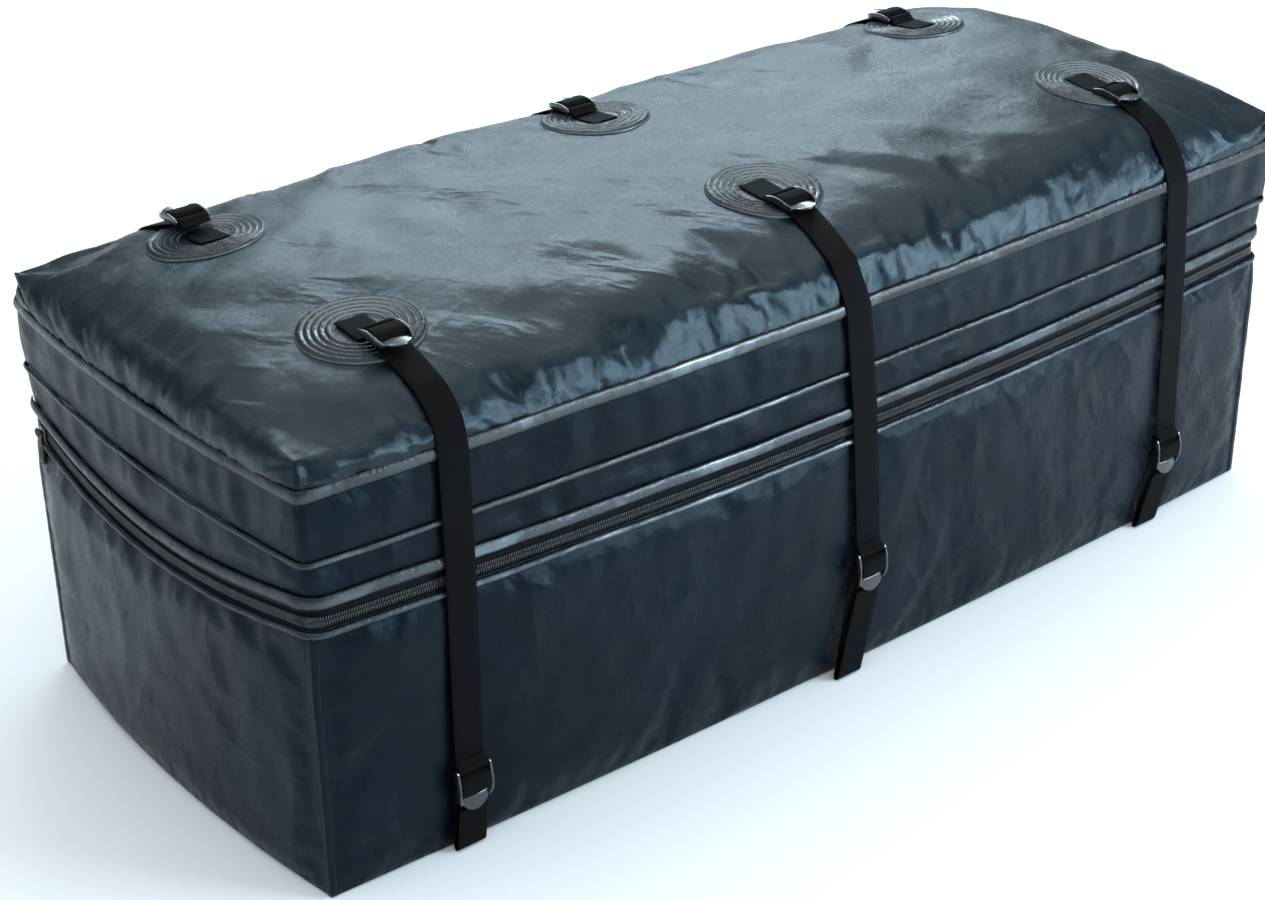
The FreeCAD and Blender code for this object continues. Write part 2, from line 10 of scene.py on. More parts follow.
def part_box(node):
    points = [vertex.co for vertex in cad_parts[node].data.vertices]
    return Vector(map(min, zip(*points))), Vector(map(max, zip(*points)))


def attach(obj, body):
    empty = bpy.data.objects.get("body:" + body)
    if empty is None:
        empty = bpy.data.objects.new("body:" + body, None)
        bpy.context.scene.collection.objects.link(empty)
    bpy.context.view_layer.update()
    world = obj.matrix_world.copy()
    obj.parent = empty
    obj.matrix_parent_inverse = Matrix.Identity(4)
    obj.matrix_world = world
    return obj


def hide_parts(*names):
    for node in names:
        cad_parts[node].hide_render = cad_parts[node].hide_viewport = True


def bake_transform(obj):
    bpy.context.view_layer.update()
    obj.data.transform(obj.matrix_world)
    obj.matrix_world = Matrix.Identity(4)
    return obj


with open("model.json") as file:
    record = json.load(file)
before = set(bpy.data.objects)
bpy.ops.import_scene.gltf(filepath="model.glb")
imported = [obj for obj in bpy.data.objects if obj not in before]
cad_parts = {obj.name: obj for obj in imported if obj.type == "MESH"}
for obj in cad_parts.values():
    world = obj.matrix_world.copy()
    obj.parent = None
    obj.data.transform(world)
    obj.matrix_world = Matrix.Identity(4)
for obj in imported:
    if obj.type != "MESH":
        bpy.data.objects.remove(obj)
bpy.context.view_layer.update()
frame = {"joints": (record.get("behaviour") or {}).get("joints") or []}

# ---------------------------------------------------------------- tub walls
# The lower half of the bag: coated cloth sewn into a bulging tube, open at the top and stiff from its load.
# It is cut as four walls with a bound seam up each corner, and hangs from the welt under the zipper.
half_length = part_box("tub_corner_bindings")[1].x
half_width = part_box("tub_corner_bindings")[1].y
corner_radius = 0.025
front_bulge = -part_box("tub_front_panel")[0].y - half_width
end_bulge = 0.022
end_sag = 0.025
front_sag = 0.006
zip_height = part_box("zipper_coil_lower")[1].z + 0.0006
tub_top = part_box("tub_front_panel")[1].z
shoulder_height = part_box("shoulder_band")[1].z
cloth_thickness = 0.0012
foot_height = 0.0015
hidden_hem = 0.004
hinge_drop = 0.012
columns_x = [(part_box(f"front_{side}_top_lock")[0].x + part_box(f"front_{side}_top_lock")[1].x) / 2
             for side in ("left", "middle", "right")]
end_run = 2 * half_width
long_run = 2 * half_length
whole_run = 2 * (end_run + long_run)
three_side_run = 2 * end_run + long_run


def rectangle_point(run):
    """Plan point on the sharp-cornered base, going from the back of the left end round the front."""
    run = np.mod(np.asarray(run, float), whole_run)
    bounds = np.cumsum([end_run, long_run, end_run, long_run])
    side = np.searchsorted(bounds, run, side="right").clip(0, 3)
    along = run - np.concatenate(([0], bounds[:3]))[side]
    x = np.select([side == 0, side == 1, side == 2], [-half_length + 0 * along, along - half_length,
                  half_length + 0 * along], half_length - along)
    y = np.select([side == 0, side == 1, side == 2], [half_width - along, -half_width + 0 * along,
                  along - half_width], half_width + 0 * along)
    return x, y, side


def front_fullness(z):
    """Share of the front bulge at a height: about half on the floor, most at the zipper."""
    below = 1 - 0.45 * np.clip(1 - z / zip_height, 0, 1) ** 1.8
    above = 1 - 0.3 * np.clip((z - zip_height) / (shoulder_height - zip_height), 0, 1.2) ** 2
    return np.where(z < zip_height, below, above)


def raw_skin(run, z):
    x, y, side = rectangle_point(run)
    ends = np.clip(1 - (y / (half_width - 0.01)) ** 2, 0, 1)
    fronts = np.clip(1 - (x / (half_length - 0.01)) ** 2, 0, 1)
    radius = 0.009 + (corner_radius - 0.009) * np.exp(-((z - zip_height - 0.015) / 0.045) ** 2)
    corner_x = np.clip(np.abs(x) - (half_length - radius), 0, None)
    corner_y = np.clip(np.abs(y) - (half_width - radius), 0, None)
    reach = np.hypot(corner_x, corner_y)
    pull = np.where((corner_x > 0) & (corner_y > 0), radius / np.maximum(reach, 1e-6), 1.0)
    px = np.sign(x) * (np.abs(x) - corner_x + corner_x * pull)
    py = np.sign(y) * (np.abs(y) - corner_y + corner_y * pull)
    px = px + np.where(side % 2 == 0, np.sign(x) * end_bulge * ends * (1 - 0.35 * z), 0)
    py = py - np.where(side == 1, front_bulge * fronts * front_fullness(z), 0)
    py = py - np.where(side == 3, 0.010 * fronts * np.sin(np.clip(z / shoulder_height, 0, 1) * math.pi), 0)
    return np.stack([px, py, z + 0 * px], -1)


def skin(run, z, out=0.0):
    """Points on the bag's outside and their outward normals."""
    run, z = np.broadcast_arrays(np.asarray(run, float), np.asarray(z, float))
    step = 0.002
    along = raw_skin(run + step, z) - raw_skin(run - step, z)
    up = raw_skin(run, z + step) - raw_skin(run, z - step)
    normal = np.cross(along, up)
    normal /= np.linalg.norm(normal, axis=-1, keepdims=True)
    return raw_skin(run, z) + normal * np.asarray(out, float)[..., None], normal


def sag(run):
    """How far the zipper line hangs below its corners."""
    x, y, side = rectangle_point(run)
    ends = end_sag * np.clip(1 - (y / (half_width - corner_radius)) ** 2, 0, 1)
    fronts = front_sag * np.clip(1 - (x / half_length) ** 2, 0, 1)
    return np.select([side == 0, side == 1, side == 2], [ends, fronts, ends], 0.0)


def field(points, scale, seed=0.0, stretch=(1, 1, 1)):
    """Smooth noise at many points, about -1 to 1."""
    scaled = np.asarray(points).reshape(-1, 3) * np.asarray(stretch) * scale + seed
    return np.array([noise.noise(Vector(p)) for p in scaled]).reshape(np.asarray(points).shape[:-1])


def folds(points, scale, seed, stretch=(1, 1, 1), sharp=1.6):
    """Ridges of cloth: smooth noise folded about zero, so that it has creases."""
    wave = field(points, scale, seed, stretch)
    return (1 - np.abs(wave) * sharp).clip(-1, 1)


def give_wall(piece, thickness=cloth_thickness):
    """Gives a sheet its thickness, inwards."""
    bpy.ops.object.select_all(action="DESELECT")
    piece.select_set(True)
    bpy.context.view_layer.objects.active = piece
    wall = piece.modifiers.new("wall", "SOLIDIFY")
    wall.thickness = thickness
    wall.offset = -1
    bpy.ops.object.modifier_apply(modifier=wall.name)
    bpy.ops.object.shade_smooth()


def dress(piece, material, slot, body, *nodes):
    """Gives a piece its material and body, and hides the solids that it stands for. Its slot is not used."""
    piece.data.materials.append(material)
    if nodes:
        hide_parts(*nodes)
    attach(piece, body)


def grid_piece(name, columns, rows, place, size_uv, closed=False, thickness=cloth_thickness):
    """A sheet of cloth: a flat grid whose points are moved by place(u, v), with a UV map in metres."""
    bpy.ops.object.select_all(action="DESELECT")
    bpy.ops.mesh.primitive_grid_add(x_subdivisions=columns, y_subdivisions=rows, size=2)
    piece = bpy.context.object
    piece.name = name
    mesh = piece.data
    flat = np.empty(len(mesh.vertices) * 3)
    mesh.vertices.foreach_get("co", flat)
    flat = (flat.reshape(-1, 3) + 1) / 2
    u, v = flat[:, 0], flat[:, 1]
    corners = np.empty(len(mesh.loops), int)
    mesh.loops.foreach_get("vertex_index", corners)
    uv_map = mesh.uv_layers[0] if mesh.uv_layers else mesh.uv_layers.new()
    uv_map.name = "cloth"
    uv_map.data.foreach_set("uv", np.stack([u[corners] * size_uv[0], v[corners] * size_uv[1]], -1).ravel())
    mesh.vertices.foreach_set("co", np.asarray(place(u, v), float).ravel())
    mesh.update()
    if closed:
        bpy.ops.object.mode_set(mode="EDIT")
        bpy.ops.mesh.select_all(action="SELECT")
        bpy.ops.mesh.remove_doubles(threshold=0.0002)
        bpy.ops.object.mode_set(mode="OBJECT")
    if thickness:
        give_wall(piece, thickness)
    bpy.ops.object.shade_smooth()
    return piece


def run_at(x, y):
    """The run of a point that lies on the skin."""
    on_end = np.abs(x) - half_length > np.abs(y) - half_width
    return np.where(on_end, np.where(x < 0, half_width - y, end_run + long_run + half_width + y),
                    np.where(y < 0, end_run + half_length + x, 2 * end_run + long_run + half_length - x))


def near_strap(x, y):
    """1 under a strap, where the cloth is held in, fading out to each side."""
    held = sum(np.exp(-((x - column) / 0.042) ** 2) for column in columns_x)
    return held * (np.abs(y) > half_width - 0.01)


def tub_point(u, v):
    run = u * whole_run
    side = rectangle_point(run)[2]
    top = np.where(side == 3, zip_height - hinge_drop, tub_top + hidden_hem - sag(run))
    z = foot_height + v * (top - foot_height)
    place, normal = skin(run, z)
    below = top - z
    pucker = 0.0030 * field(place, 30, 3.0, (1, 1, 0.12)).clip(-0.2, 1) * np.exp(-below / 0.04)
    gather = 0.0040 * folds(place, 13, 8.0, (1, 1, 0.35)).clip(0, 1) * np.exp(-below / 0.10)
    slant = np.stack([place[:, 0] + place[:, 1] + 0.75 * z, z * 0.25, 0 * z], -1)
    drape = 0.0060 * field(slant, 5.0, 21.0)
    cross = np.stack([place[:, 0] + place[:, 1] - 0.9 * z, z * 0.3, 0 * z], -1)
    crease = 0.0060 * folds(cross, 5.5, 41.0, sharp=3.0).clip(0, 1) * field(place, 3.0, 44.0).clip(0, 1)
    dents = 0.0016 * field(place, 22, 60.0)
    free = 1 - 0.85 * near_strap(place[:, 0], place[:, 1])
    hung = np.sin(np.clip(z / tub_top, 0, 1) * math.pi) ** 0.6 * free
    corner = np.abs(half_length - np.abs(place[:, 0])) + np.abs(half_width - np.abs(place[:, 1]))
    steady = 1 - 0.8 * np.exp(-(corner / 0.035) ** 2)
    floor = np.clip(z / 0.05, 0, 1)
    under_welt = np.clip((below - 0.008) / 0.012, 0, 1)
    move = ((pucker + gather) * under_welt + (drape + crease + dents) * hung * floor) * steady - 0.0012
    return place + normal * move[:, None]


def relax_cloth(piece, sewn, frames, pressure, growth, cap):
    """Cloth simulation with a little spare cloth and air behind it. No point moves further than its cap."""
    mesh = piece.data
    before = np.empty(len(mesh.vertices) * 3)
    mesh.vertices.foreach_get("co", before)
    before = before.reshape(-1, 3)
    pins = piece.vertex_groups.new(name="sewn")
    for index in np.flatnonzero(sewn(before)):
        pins.add([int(index)], 1.0, "REPLACE")
    cloth = piece.modifiers.new("cloth", "CLOTH")
    settings = cloth.settings
    settings.vertex_group_mass = pins.name
    settings.quality = 5
    settings.mass = 0.3
    settings.tension_stiffness = settings.compression_stiffness = 15
    settings.shear_stiffness = 5
    settings.bending_stiffness = 0.05
    settings.shrink_min = -growth
    settings.use_pressure = True
    settings.uniform_pressure_force = pressure
    settings.effector_weights.gravity = 0
    cloth.collision_settings.use_collision = False
    scene = bpy.context.scene
    cloth.point_cache.frame_start, cloth.point_cache.frame_end = 1, frames
    for frame_number in range(1, frames + 1):
        scene.frame_set(frame_number)
    bpy.ops.object.select_all(action="DESELECT")
    piece.select_set(True)
    bpy.context.view_layer.objects.active = piece
    bpy.ops.object.modifier_apply(modifier=cloth.name)
    scene.frame_set(1)
    after = np.empty(len(mesh.vertices) * 3)
    mesh.vertices.foreach_get("co", after)
    move = after.reshape(-1, 3) - before
    length = np.linalg.norm(move, axis=1)
    move *= np.minimum(1, cap(before) / np.maximum(length, 1e-9))[:, None]
    mesh.vertices.foreach_set("co", (before + move).ravel())
    mesh.update()
    piece.vertex_groups.clear()


tub_walls = grid_piece("tub_walls", 600, 46, tub_point, (whole_run, tub_top), closed=True, thickness=0)


def tub_sewn(co):
    corner = np.abs(half_length - np.abs(co[:, 0])) + np.abs(half_width - np.abs(co[:, 1]))
    below = tub_top + hidden_hem - sag(run_at(co[:, 0], co[:, 1])) - co[:, 2]
    return (co[:, 2] < 0.006) | (corner < 0.02) | (below < 0.011)


relax_cloth(tub_walls, tub_sewn, frames=12, pressure=1.2, growth=0.012,
            cap=lambda co: 0.0065 * (1 - 0.95 * near_strap(co[:, 0], co[:, 1]).clip(0, 1)))
give_wall(tub_walls)


class Wire:
    """A shader socket with arithmetic, in one node tree."""

    def __init__(self, tree, socket):
        self.tree = tree
        self.socket = socket

    def node(self, kind, settings=(), **inputs):
        made = self.tree.nodes.new(kind)
        for name, value in dict(settings).items():
            setattr(made, name, value)
        for name, value in inputs.items():
            if name.startswith("in"):
                socket = made.inputs[int(name[2:])]
            else:
                socket = made.inputs[name.replace("_", " ")]
            if isinstance(value, Wire):
                self.tree.links.new(value.socket, socket)
            else:
                socket.default_value = value
        return made

    def math(self, operation, *values):
        numbered = {f"in{n}": value for n, value in enumerate(values)}
        made = self.node("ShaderNodeMath", {"operation": operation}, **numbered)
        return Wire(self.tree, made.outputs[0])

    def __add__(self, other): return self.math("ADD", self, other)
    def __radd__(self, other): return self.math("ADD", other, self)
    def __sub__(self, other): return self.math("SUBTRACT", self, other)
    def __rsub__(self, other): return self.math("SUBTRACT", other, self)
    def __mul__(self, other): return self.math("MULTIPLY", self, other)
    def __rmul__(self, other): return self.math("MULTIPLY", other, self)
    def __abs__(self): return self.math("ABSOLUTE", self)
    def clamp(self): return self.math("MINIMUM", self.math("MAXIMUM", self, 0.0), 1.0)
    def wave(self, length): return self.math("SINE", self * (2 * math.pi / length))

    def noise(self, scale, detail=3.0, roughness=0.55):
        made = self.node("ShaderNodeTexNoise", Vector=self, Scale=scale, Detail=detail, Roughness=roughness)
        return Wire(self.tree, made.outputs["Fac"])

    def part(self, axis):
        return Wire(self.tree, self.node("ShaderNodeSeparateXYZ", Vector=self).outputs[axis])

    def between(self, low, high):
        made = self.node("ShaderNodeMapRange", {"clamp": True}, Value=self, From_Min=low, From_Max=high)
        return Wire(self.tree, made.outputs[0])

    def blend(self, first, second):
        made = self.node("ShaderNodeMix", {"data_type": "RGBA"}, in0=self, in6=first, in7=second)
        return Wire(self.tree, made.outputs[2])


def new_finish(name, **constants):
    """A material with its shader, and wires for the object's own coordinates and the cloth's UV map."""
    finish = bpy.data.materials.new(name)
    finish.use_nodes = True
    tree = finish.node_tree
    shader = tree.nodes["Principled BSDF"]
    for key, value in constants.items():
        shader.inputs[key.replace("_", " ")].default_value = value
    coordinates = Wire(tree, None).node("ShaderNodeTexCoord")
    return finish, shader, Wire(tree, coordinates.outputs["Object"]), Wire(tree, coordinates.outputs["UV"])


def connect(wire, shader, socket):
    wire.tree.links.new(wire.socket, shader.inputs[socket])


def bump(height, shader, distance, strength=1.0):
    made = height.node("ShaderNodeBump", Height=height, Distance=distance, Strength=strength)
    height.tree.links.new(made.outputs["Normal"], shader.inputs["Normal"])


def joined(x, y, z):
    """One vector made of three wires."""
    return Wire(x.tree, x.node("ShaderNodeCombineXYZ", X=x, Y=y, Z=z).outputs[0])


def coated_cloth(name, dark, pale, roughness, specular, dents, pleats=0.0):
    """Coated woven cloth: a fine plain weave under a semi-gloss film, with creases and rubbed patches."""
    finish, shader, place, uv = new_finish(name, Specular_IOR_Level=specular,
                                           Specular_Tint=(0.66, 0.88, 1.0, 1))
    x, y, z = place.part(0), place.part(1), place.part(2)
    mottling = place.noise(5.5, 5.0, 0.6)
    wear_and_highlight = place.noise(38.0, 4.0, 0.65)
    weave = uv.part(0).wave(0.0011) * uv.part(1).wave(0.0011)
    creased = place.noise(3.1, 2.0, 0.5).between(0.42, 0.60)
    slanted = joined(x + y * 0.8 + z * 0.4, (y - x) * 0.35, z * 0.7)
    long_lines = (1.0 - abs(slanted.noise(6.5, 4.0, 0.5) - 0.5) * 12.0).clamp() * creased
    fine_lines = (1.0 - abs(place.noise(17.0, 4.0, 0.6) - 0.5) * 9.0).clamp() * (1.0 - creased * 0.6)
    relief = long_lines * 1.3 + fine_lines * 0.20 + place.noise(14.0, 2.0, 0.4) * dents
    relief = relief + wear_and_highlight * 0.2 + weave * 0.03
    if pleats:
        along_front = joined(x, y * 0.25, z * 0.25).noise(30.0, 1.5, 0.5) * abs(y).between(0.235, 0.300)
        along_end = joined(x * 0.25, y, z * 0.25).noise(30.0, 1.5, 0.5) * abs(x).between(0.68, 0.745)
        relief = relief + (along_front + along_end) * pleats
    tone = mottling * 0.7 + wear_and_highlight * 0.3
    connect(tone.between(0.35, 0.65).blend(dark, pale), shader, "Base Color")
    connect(wear_and_highlight * 0.16 + mottling * 0.14 + (roughness - 0.15), shader, "Roughness")
    bump(relief, shader, 0.0014)
    return finish


side_cloth = coated_cloth("coated_cloth_side", (0.0012, 0.0036, 0.0072, 1), (0.0026, 0.0075, 0.0140, 1),
                          roughness=0.27, specular=0.12, dents=1.1)
dress(tub_walls, side_cloth, "side_fabric", "tub",
      "tub_front_panel", "tub_back_panel", "tub_left_panel", "tub_right_panel")

# ---------------------------------------------------------------- tub floor
# One panel of the same cloth sewn to the walls along the bottom edge. It lies flat on the tray.
floor_inset = 0.006


def floor_point(u, v):
    a, b = u * 2 - 1, v * 2 - 1
    x = a * (half_length + (end_bulge - 0.002) * (1 - b * b) - floor_inset)
    front = front_bulge * front_fullness(0) * (1 - a * a) * np.clip(-b, 0, 1)
    y = b * (half_width - floor_inset) - front
    lift = 0.0012 * field(np.stack([x, y, 0 * x], -1), 12, 5.0).clip(0, 1)
    return np.stack([x, y, 0.0022 + lift], -1)


tub_floor = grid_piece("tub_floor", 120, 50, floor_point, (long_run, end_run))
dress(tub_floor, side_cloth, "side_fabric", "tub", "tub_floor_panel")


# ---------------------------------------------------------------- corner bindings
# A folded strip sewn over each upright seam of the tub, from the floor to the welt, with a raised edge.
def binding_piece(name, run_middle, low, high, width, out, seed):
    def point(u, v):
        z = low + v * (high - low)
        across = (u - 0.5) * width
        wander = 0.0018 * field(np.stack([0 * z + seed, 0 * z, z], -1), 14)
        ridge = out + 0.0016 * np.exp(-((u - 0.5) / 0.10) ** 2) - 0.0035 * np.abs(2 * u - 1) ** 3
        place, normal = skin(run_middle + across + wander, z)
        edge = 0.0006 * field(place, 60, seed)
        return place + normal * (ridge + edge)[:, None]
    rows = int((high - low) / 0.006)
    return grid_piece(name, 14, rows, point, (width, high - low), thickness=0.0016)


corner_runs = [0.0, end_run, end_run + long_run, 2 * end_run + long_run]
for number, run in enumerate(corner_runs):
    binding = binding_piece(f"corner_binding_{number + 1}", run, low=0.002, high=tub_top - 0.004, width=0.026,
                            out=0.0004, seed=number * 3.0)
    dress(binding, side_cloth, "side_fabric", "tub", *(["tub_corner_bindings"] if number == 0 else []))


# ---------------------------------------------------------------- gusset, upper band and their corner seams
# Two strips of cloth go round the lid, one above the other. The lower is gathered into the zipper's flap
# and the upper is tight between the mid welt and the top seam, with a sewn seam up each corner.
mid_height = (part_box("mid_welt")[0].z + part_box("mid_welt")[1].z) / 2
seam_height = (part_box("top_seam_tape")[0].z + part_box("top_seam_tape")[1].z) / 2
gusset_above_zip = 0.0165


def wall_strip(name, low, high, rows, ripple, seed, covered):
    def point(u, v):
        run = u * whole_run
        z = low(run) + v * (high(run) - low(run))
        place, normal = skin(run, z)
        middle = np.sin(np.clip((v - covered) / (1 - covered), 0, 1) * math.pi)
        upright = field(place, 34, seed, (1, 1, 0.12)) * ripple
        soft = field(place, 7, seed + 9, (1, 1, 0.6)) * ripple * 1.2
        crease = folds(place, 12, seed + 17, (1, 1, 2.2)) * ripple * 0.5
        held = 1 - 0.8 * near_strap(place[:, 0], place[:, 1])
        return place + normal * (middle * held * (upright + soft + crease))[:, None]
    return grid_piece(name, 620, rows, point, (whole_run, 0.08), closed=True)


gusset = wall_strip("gusset_band", lambda run: zip_height + gusset_above_zip - hidden_hem - sag(run),
                    lambda run: mid_height + 0 * run, rows=12, ripple=0.0046, seed=4.0, covered=0.34)
upper_band = wall_strip("upper_band", lambda run: mid_height + 0 * run, lambda run: seam_height + 0 * run,
                        rows=14, ripple=0.0040, seed=33.0, covered=0.0)
dress(gusset, side_cloth, "side_fabric", "lid", "gusset_band")
dress(upper_band, side_cloth, "side_fabric", "lid",
      "upper_front_band", "upper_back_band", "upper_left_band", "upper_right_band")
for number, run in enumerate(corner_runs):
    seam = binding_piece(f"band_corner_seam_{number + 1}", run, low=mid_height, high=seam_height, width=0.016,
                         out=0.0004, seed=50 + number)
    dress(seam, side_cloth, "side_fabric", "lid")


# ---------------------------------------------------------------- back fold
# The cloth runs on unbroken from the tub's back to the lid's, and on the real bag it folds there when the lid
# is opened. This strip is fixed and attached to neither body, so it does not fold.
fold_low, fold_high = zip_height - 0.018, zip_height + 0.020
back_start = three_side_run + 0.004


def fold_point(u, v):
    run = back_start + u * (long_run - 0.008)
    z = fold_low + v * (fold_high - fold_low)
    place, normal = skin(run, z)
    return place + normal * (0.0006 + 0.0008 * field(place, 24, 2.0, (1, 1, 0.2)))[:, None]


back_fold = grid_piece("back_fold", 260, 14, fold_point, (long_run, fold_high - fold_low))
back_fold.data.materials.append(side_cloth)
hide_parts("back_hinge_band", "back_hinge_piping")
joints = {joint["name"]: joint["pos_m"] for joint in frame["joints"]}
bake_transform(back_fold)

# ---------------------------------------------------------------- lid top
# The crowned top panel and the shoulder border are one soft cloth shell, held out by the load. The border is
# gathered along the top seam, so it puckers there.
top_cells = (250, 110)
band_rows = 8
patch_row = 0.160


def near_patch(x, y, spread):
    """1 on a strap patch, fading out around it."""
    return sum(np.exp(-((x - column) ** 2 + (np.abs(y) - patch_row - 0.015) ** 2) / spread ** 2)
               for column in columns_x).clip(0, 1)


def lid_top_point(u, v):
    """The crowned panel with its border, before it is relaxed."""
    i, j = (u * 2 - 1) * top_cells[0] / 2, (v * 2 - 1) * top_cells[1] / 2
    from_edge = np.minimum(top_cells[0] / 2 - np.abs(i), top_cells[1] / 2 - np.abs(j))
    depth = np.clip(band_rows - from_edge, 0, None) / band_rows
    a = i / (top_cells[0] / 2 - np.minimum(from_edge, band_rows))
    b = j / (top_cells[1] / 2 - np.minimum(from_edge, band_rows))
    q = np.maximum(np.maximum(np.abs(a), np.abs(b)), 1e-6)
    ea, eb = a / q, b / q
    run = np.select([eb <= -1 + 1e-6, eb >= 1 - 1e-6, ea < 0],
                    [end_run + (ea + 1) * half_length, 2 * end_run + long_run + (1 - ea) * half_length,
                     (1 - eb) * half_width], end_run + long_run + (eb + 1) * half_width)
    corner = np.hypot(half_length * (1 - np.abs(ea)), half_width * (1 - np.abs(eb)))
    line = np.stack([run, 0 * run, 0 * run], -1)
    calm = 1 - np.exp(-(corner / 0.045) ** 2)
    roll = shoulder_height + 0.006 - 0.004 * np.exp(-(corner / 0.06) ** 2)
    roll = roll + 0.0045 * field(line, 9, 5.0) * calm
    z_edge = roll - depth * (roll - seam_height)
    edge, normal = skin(run, z_edge)
    x, y = edge[:, 0] * q, edge[:, 1] * q
    gap_x = np.clip(half_length + end_bulge * 0.5 - np.abs(x), 0, None)
    gap_y = np.clip(half_width + front_bulge * 0.4 * (y < 0) - np.abs(y), 0, None)
    out = np.minimum(gap_x, gap_y)
    lean_in = (0.0030 * field(line, 12, 15.0) * calm - 0.011 * (0.45 + 0.55 * calm)) * (1 - depth) ** 2
    inset = lean_in * np.exp(-out * (q < 1) / 0.05)
    edge = edge + normal * inset[:, None]
    x, y = x + normal[:, 0] * inset, y + normal[:, 1] * inset
    reach_x = np.where(x < 0, 0.085, 0.070)
    rise = 0.045 * (1 - np.exp(-gap_x / reach_x)) * (1 - np.exp(-gap_y / 0.060))
    tilt = 0.007 * np.clip(x / half_length, -0.6, 1)
    tilt = tilt * (1 - np.exp(-gap_y / 0.08)) * (1 - np.exp(-gap_x / 0.06))
    spot = np.stack([x, y, 0 * x], -1)
    inside = (1 - np.exp(-out / 0.035)) * (1 - 0.9 * near_patch(x, y, 0.095))
    lumps = 0.0080 * field(spot, 5.2, 12.0) + 0.0042 * field(spot, 13.0, 70.0)
    across = np.stack([x + 0.8 * y, 0.3 * (y - x), 0 * x], -1)
    long_folds = folds(across, 4.2, 80.0, sharp=3.4).clip(0, 1) * field(spot, 3.0, 90.0).clip(0, 0.7)
    second = np.stack([x - 0.9 * y, 0.35 * (y + x), 0 * x], -1)
    short_folds = folds(second, 9.0, 30.0, sharp=3.4).clip(0, 1) * field(spot, 5.0, 35.0).clip(0, 0.7)
    # Gathers start in the border and run on into the panel, square to the seam. They are deepest between the
    # front's left corner and the first strap.
    deep = 0.0055 + 0.0045 * np.exp(-((run - end_run - 0.13) / 0.16) ** 2)
    in_border = np.sin(depth * math.pi) * 0.8 + 0.25 * (1 - depth)
    gather = deep * field(line, 24, 25.0) * np.where(depth > 0, in_border, 0.25) * calm
    fade = np.exp(-np.clip(out - 0.012, 0, None) / 0.040)
    top = roll + (shoulder_height + rise + tilt - roll) * (1 - np.exp(-out / 0.02)) * (depth <= 0)
    top = top + (lumps + 0.0150 * long_folds + 0.0110 * short_folds) * inside + gather * fade * 1.1
    puckers = gather * (0.5 + 0.9 * field(line, 3.0, 3.0).clip(-0.3, 1))
    hem = edge + normal * puckers[:, None]
    return np.where((depth > 0)[:, None], hem, np.stack([x, y, top], -1))


lid_top = grid_piece("lid_top", top_cells[0], top_cells[1], lid_top_point, (long_run, end_run), thickness=0)
relax_cloth(lid_top, lambda co: co[:, 2] < seam_height + 0.003, frames=14, pressure=1.6, growth=0.016,
            cap=lambda co: 0.009 - 0.0075 * near_patch(co[:, 0], co[:, 1], 0.085))
top_tree = BVHTree.FromObject(lid_top, bpy.context.evaluated_depsgraph_get())
give_wall(lid_top)
# This copy of the coated cloth is painted lighter than the side cloth, for the light that falls on the top.
lit_top_cloth = coated_cloth("coated_cloth_top", (0.0022, 0.0058, 0.0095, 1), (0.005, 0.012, 0.018, 1),
                         roughness=0.26, specular=0.30, dents=2.2, pleats=4.0)
dress(lid_top, lit_top_cloth, "top_fabric", "lid", "lid_top_panel", "shoulder_band")


# ---------------------------------------------------------------- welded tapes, welts and rain flap
# Glossy strips heat-sealed over the seams: the wide tape at the top seam, the narrow mid welt, the hem of
# the rain flap that hangs over the zipper, and the piping under the zipper.
def tape_strip(name, centre, width, out, crown, seed, start=0.0, length=whole_run, wobble=0.0012):
    """A strip along a seam, standing off the cloth by out at its edges and by out + crown in the middle."""
    def point(u, v):
        run = start + u * length
        jitter = wobble * field(np.stack([run, 0 * run, 0 * run], -1), 9, seed)
        z = centre(run) + jitter + (v - 0.5) * width
        place, normal = skin(run, z)
        middle = 1 - (2 * v - 1) ** 2
        crimp = 0.0008 * field(place, 75, seed, (1, 1, 0.3)) * middle
        sway = 0.0011 * field(place, 24, seed + 5, (1, 1, 0.2)) + 0.0008 * field(place, 9, seed + 8)
        height = out + crown * middle + crimp + sway
        return place + normal * height[:, None]

    return grid_piece(name, int(length / 0.0055), 8, point, (length, 1.0), closed=length >= whole_run,
                      thickness=0.0016)


three_sides = (0.012, three_side_run - 0.024)
seam_tape = tape_strip("top_seam_tape", lambda run: seam_height + 0 * run, 0.016, 0.0024, 0.0022, seed=5.0)
mid_welt = tape_strip("mid_welt", lambda run: mid_height + 0 * run, 0.0075, 0.0022, 0.0020, seed=15.0)
flap_hem = tape_strip("rain_flap_hem", lambda run: zip_height + gusset_above_zip + 0.008 - sag(run),
                      0.016, 0.0026, 0.0026, 25.0, *three_sides, wobble=0.0014)
tub_welt = tape_strip("tub_top_welt", lambda run: zip_height - 0.014 - sag(run),
                      0.009, 0.0014, 0.0030, 35.0, *three_sides, wobble=0.0008)


